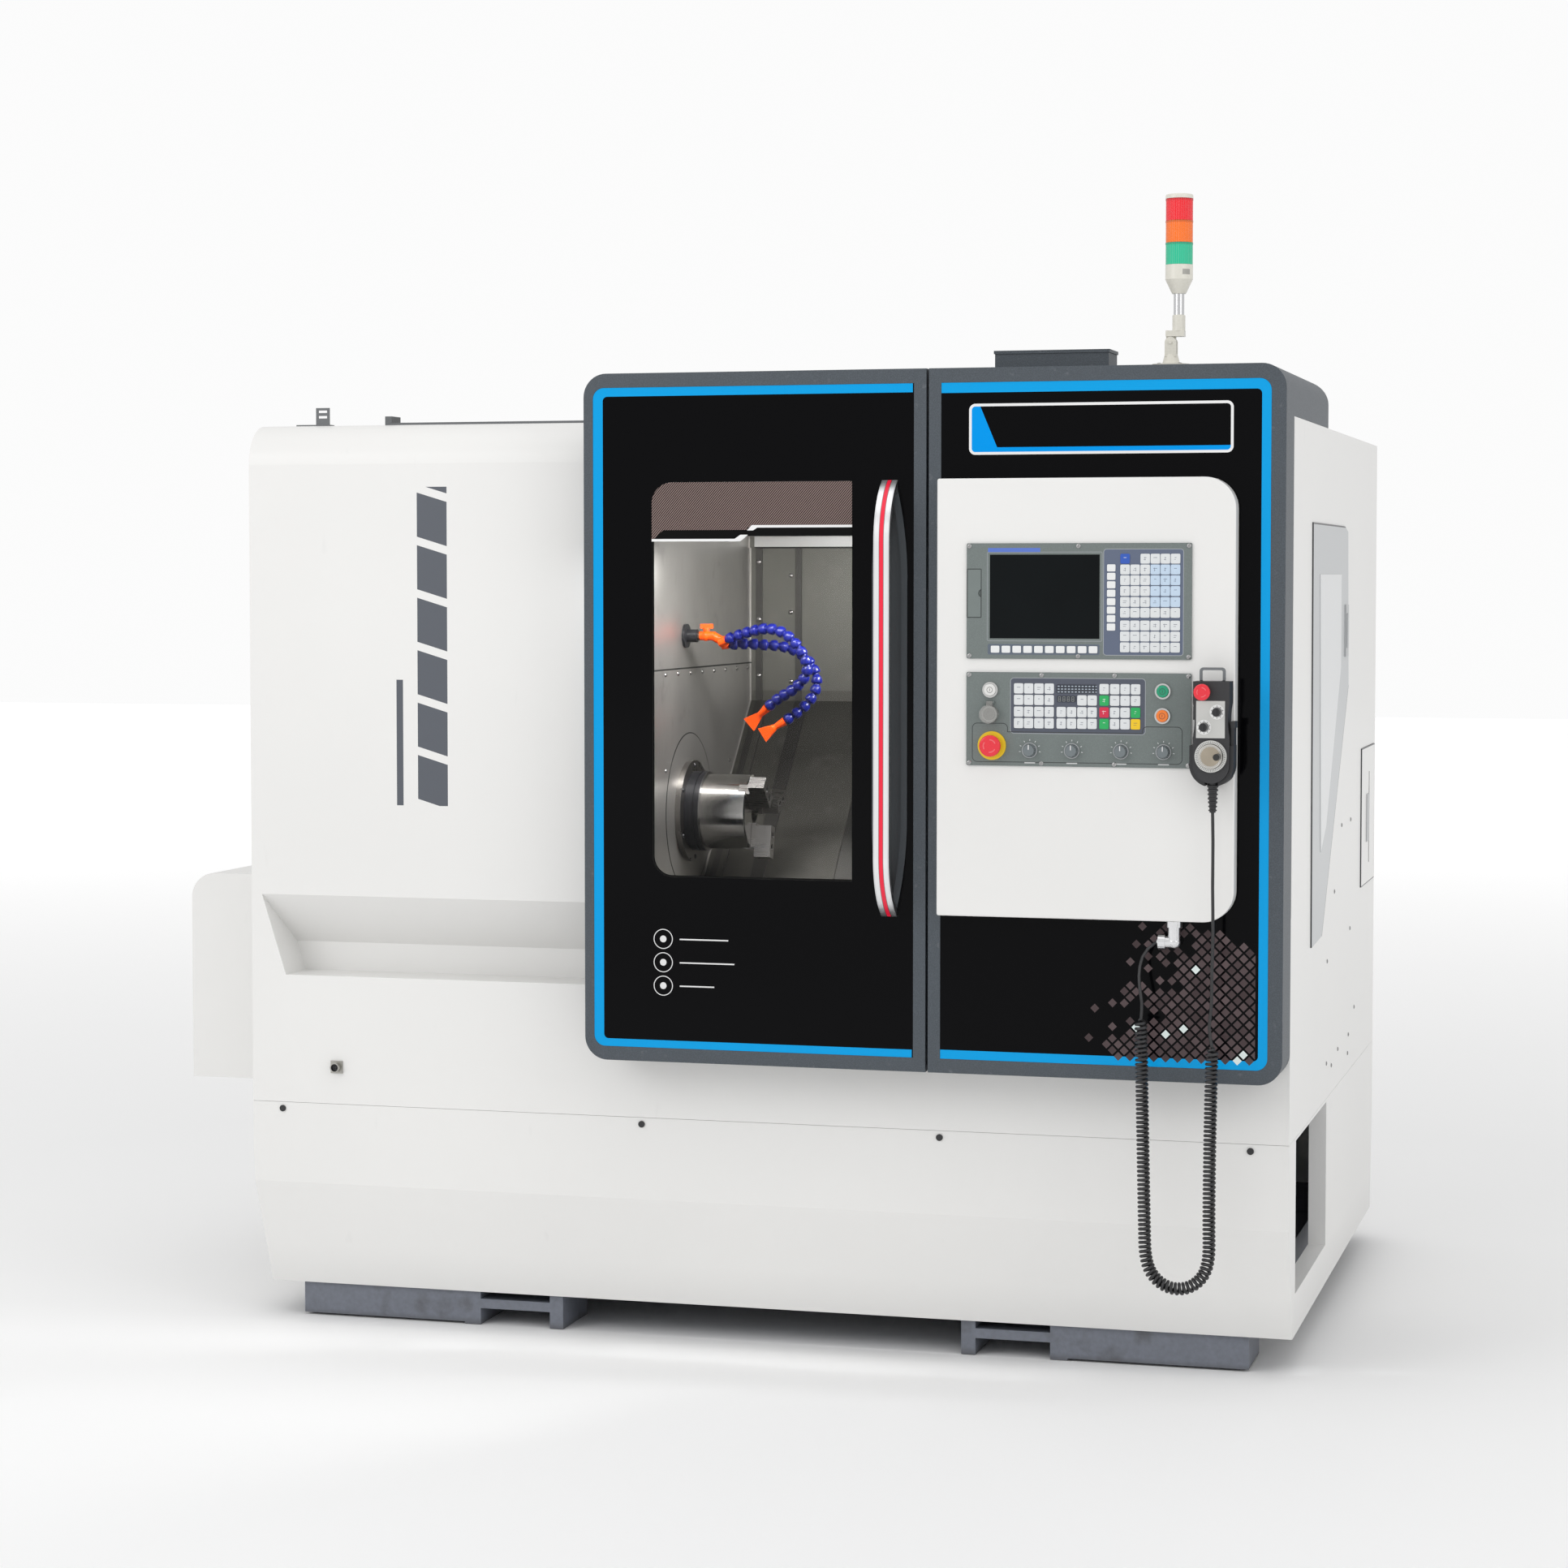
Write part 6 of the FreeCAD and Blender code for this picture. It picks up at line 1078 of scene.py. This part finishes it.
def set_stage(stage):
    scene = bpy.context.scene
    camera = bpy.data.cameras.new("camera")
    camera.lens = CAMERA_LENS
    camera.sensor_width = CAMERA_SENSOR
    camera.shift_y = CAMERA_SHIFT
    camera.clip_end = 100.0
    eye = bpy.data.objects.new("camera", camera)
    scene.collection.objects.link(eye)
    eye.location = CAMERA_PLACE
    eye.rotation_euler = (math.radians(CAMERA_TILT), 0.0, math.radians(CAMERA_TURN))
    scene.camera = eye
    world = bpy.data.worlds.new("studio")
    scene.world = world
    world.use_nodes = True
    back = world.node_tree.nodes["Background"]
    back.inputs["Color"].default_value = (1.0, 1.0, 1.0, 1.0)
    back.inputs["Strength"].default_value = stage.sky
    nodes, links = world.node_tree.nodes, world.node_tree.links
    seen = nodes.new("ShaderNodeBackground")
    seen.inputs["Color"].default_value = (0.97, 0.97, 0.97, 1.0)
    share = nodes.new("ShaderNodeMixShader")
    links.new(nodes.new("ShaderNodeLightPath").outputs["Is Camera Ray"], share.inputs[0])
    links.new(back.outputs[0], share.inputs[1])
    links.new(seen.outputs[0], share.inputs[2])
    links.new(share.outputs[0], nodes["World Output"].inputs["Surface"])
    scene.view_settings.view_transform = "Standard"
    soft_light("softbox_left", (-3.4, -5.2, 3.6), (0.0, -0.4, 1.0), stage.key, 3.2, 2.6)
    soft_light("softbox_right", (4.8, -3.6, 3.2), (0.6, 0.0, 1.0), stage.fill, 2.6, 2.6)
    soft_light("softbox_top", (0.2, -1.6, 5.2), (0.0, -0.2, 1.0), stage.fill * 0.8, 4.0, 3.0)
    soft_light("work_lamp", (0.55, -0.50, 1.53), (0.05, -0.30, 1.05), stage.inside, 0.30, 0.12)
    soft_light("work_lamp_left", (0.08, -0.640, 1.54), (0.03, -0.42, 1.05), stage.inside * 0.35, 0.34, 0.04)
    f = Finish("studio_floor", tuple(stage.floor), roughness=0.6)
    cloud = f.noise(0.6)
    f.paint(f.mix(cloud, shade(tuple(stage.floor), 0.99), shade(tuple(stage.floor), 1.01)))
    x, y, _ = f.place()
    # Painted light: the floor glows more the further it lies from the machine, from 2.6 m out to 12 m.
    far_glow = f.clamp(f.radius(x, y, (-506.0, 756.5)), 2600.0, 12000.0)
    f.shader.inputs["Emission Strength"].default_value = 1.0
    f.feed(f.shader.inputs["Emission Color"], f.mix(far_glow, (0.0, 0.0, 0.0), (0.27, 0.27, 0.27)))
    mesh = bpy.data.meshes.new("floor")
    corners = [(a * FLOOR_HALF, b * FLOOR_HALF, -0.001) for a, b in ((-1, -1), (1, -1), (1, 1), (-1, 1))]
    mesh.from_pydata(corners, [], [(0, 1, 2, 3)])
    mesh.materials.append(f.material)
    floor = bpy.data.objects.new("floor", mesh)
    scene.collection.objects.link(floor)


# ---- operators ----
class LATHE_OT_stage(bpy.types.Operator):
    """Sets the floor, the lights and the camera"""
    bl_idname = "lathe.stage"
    bl_label = "Stage"

    def execute(self, context):
        set_stage(context.scene.lathe_stage)
        return {"FINISHED"}


class LATHE_OT_cord(bpy.types.Operator):
    """Winds the pendant's cord along its route"""
    bl_idname = "lathe.cord"
    bl_label = "Pendant cord"

    def execute(self, context):
        make_cord(context.scene.lathe_cord)
        return {"FINISHED"}


class LATHE_OT_enclosure(bpy.types.Operator):
    """Paints the covers, the trim and the side doors"""
    bl_idname = "lathe.enclosure"
    bl_label = "Enclosure paint"

    def execute(self, context):
        paint_enclosure(context.scene.lathe_paint)
        return {"FINISHED"}


class LATHE_OT_base(bpy.types.Operator):
    """Finishes the feet, the rail and the skirt's fittings"""
    bl_idname = "lathe.base"
    bl_label = "Base"

    def execute(self, context):
        finish_base(context.scene.lathe_paint)
        return {"FINISHED"}


class LATHE_OT_panels(bpy.types.Operator):
    """Prints the two gloss panels and the window"""
    bl_idname = "lathe.panels"
    bl_label = "Panels and window"

    def execute(self, context):
        print_panels(context.scene.lathe_paint)
        finish_window()
        return {"FINISHED"}


class LATHE_OT_handle(bpy.types.Operator):
    """Finishes the door handle and its pocket"""
    bl_idname = "lathe.handle"
    bl_label = "Door handle"

    def execute(self, context):
        finish_handle()
        return {"FINISHED"}


class LATHE_OT_workspace(bpy.types.Operator):
    """Finishes the work space's sheets and feed axes"""
    bl_idname = "lathe.workspace"
    bl_label = "Work space"

    def execute(self, context):
        finish_workspace(context.scene.lathe_detail)
        return {"FINISHED"}


class LATHE_OT_spindle(bpy.types.Operator):
    """Finishes the flange, chuck and jaws, and sets their bolts"""
    bl_idname = "lathe.spindle"
    bl_label = "Spindle and chuck"

    def execute(self, context):
        finish_spindle()
        return {"FINISHED"}


class LATHE_OT_hoses(bpy.types.Operator):
    """Links up the two coolant hoses and finishes their valve"""
    bl_idname = "lathe.hoses"
    bl_label = "Coolant hoses"

    def execute(self, context):
        make_hoses(context.scene.lathe_paint, context.scene.lathe_hose)
        return {"FINISHED"}


class LATHE_OT_keys(bpy.types.Operator):
    """Sets the keys and displays of the console"""
    bl_idname = "lathe.keys"
    bl_label = "Keys"

    def execute(self, context):
        make_keys(context.scene.lathe_detail)
        make_displays()
        return {"FINISHED"}


class LATHE_OT_controls(bpy.types.Operator):
    """Finishes the screen, the operator panel and its buttons and dials"""
    bl_idname = "lathe.controls"
    bl_label = "Controls"

    def execute(self, context):
        finish_controls(context.scene.lathe_paint, context.scene.lathe_detail)
        return {"FINISHED"}


class LATHE_OT_pendant(bpy.types.Operator):
    """Finishes the hand pendant and its cradle"""
    bl_idname = "lathe.pendant"
    bl_label = "Hand pendant"

    def execute(self, context):
        make_pendant()
        return {"FINISHED"}


class LATHE_OT_tower(bpy.types.Operator):
    """Finishes the signal tower"""
    bl_idname = "lathe.tower"
    bl_label = "Signal tower"

    def execute(self, context):
        finish_tower()
        return {"FINISHED"}


class LATHE_OT_screws(bpy.types.Operator):
    """Sets the outside sheet screws"""
    bl_idname = "lathe.screws"
    bl_label = "Sheet screws"

    def execute(self, context):
        set_screws(context.scene.lathe_detail)
        return {"FINISHED"}


OPERATORS = (LATHE_OT_stage, LATHE_OT_cord, LATHE_OT_enclosure, LATHE_OT_base, LATHE_OT_panels, LATHE_OT_handle,
             LATHE_OT_workspace, LATHE_OT_spindle, LATHE_OT_hoses, LATHE_OT_keys, LATHE_OT_controls, LATHE_OT_pendant,
             LATHE_OT_tower, LATHE_OT_screws)
GROUPS = {"lathe_paint": LathePaint, "lathe_cord": LatheCord, "lathe_hose": LatheHose, "lathe_detail": LatheDetail,
          "lathe_stage": LatheStage}


class LATHE_PT_panel(bpy.types.Panel):
    """Sidebar panel of the lathe's finish"""
    bl_idname = "LATHE_PT_panel"
    bl_label = "Turning lathe"
    bl_space_type = "VIEW_3D"
    bl_region_type = "UI"
    bl_category = "Lathe"

    def draw(self, context):
        for name, group in GROUPS.items():
            settings = getattr(context.scene, name)
            box = self.layout.box()
            box.label(text=group.__doc__)
            for key in group.__annotations__:
                box.prop(settings, key)
        for operator in OPERATORS:
            self.layout.operator(operator.bl_idname)


def register():
    for name, group in GROUPS.items():
        bpy.utils.register_class(group)
        setattr(bpy.types.Scene, name, bpy.props.PointerProperty(type=group))
    for item in (*OPERATORS, LATHE_PT_panel):
        bpy.utils.register_class(item)


def unregister():
    for item in (LATHE_PT_panel, *reversed(OPERATORS)):
        bpy.utils.unregister_class(item)
    for name, group in reversed(GROUPS.items()):
        delattr(bpy.types.Scene, name)
        bpy.utils.unregister_class(group)


def main():
    register()
    for operator in OPERATORS:
        part, name = operator.bl_idname.split(".")
        getattr(getattr(bpy.ops, part), name)()


if __name__ == "__main__":
    main()
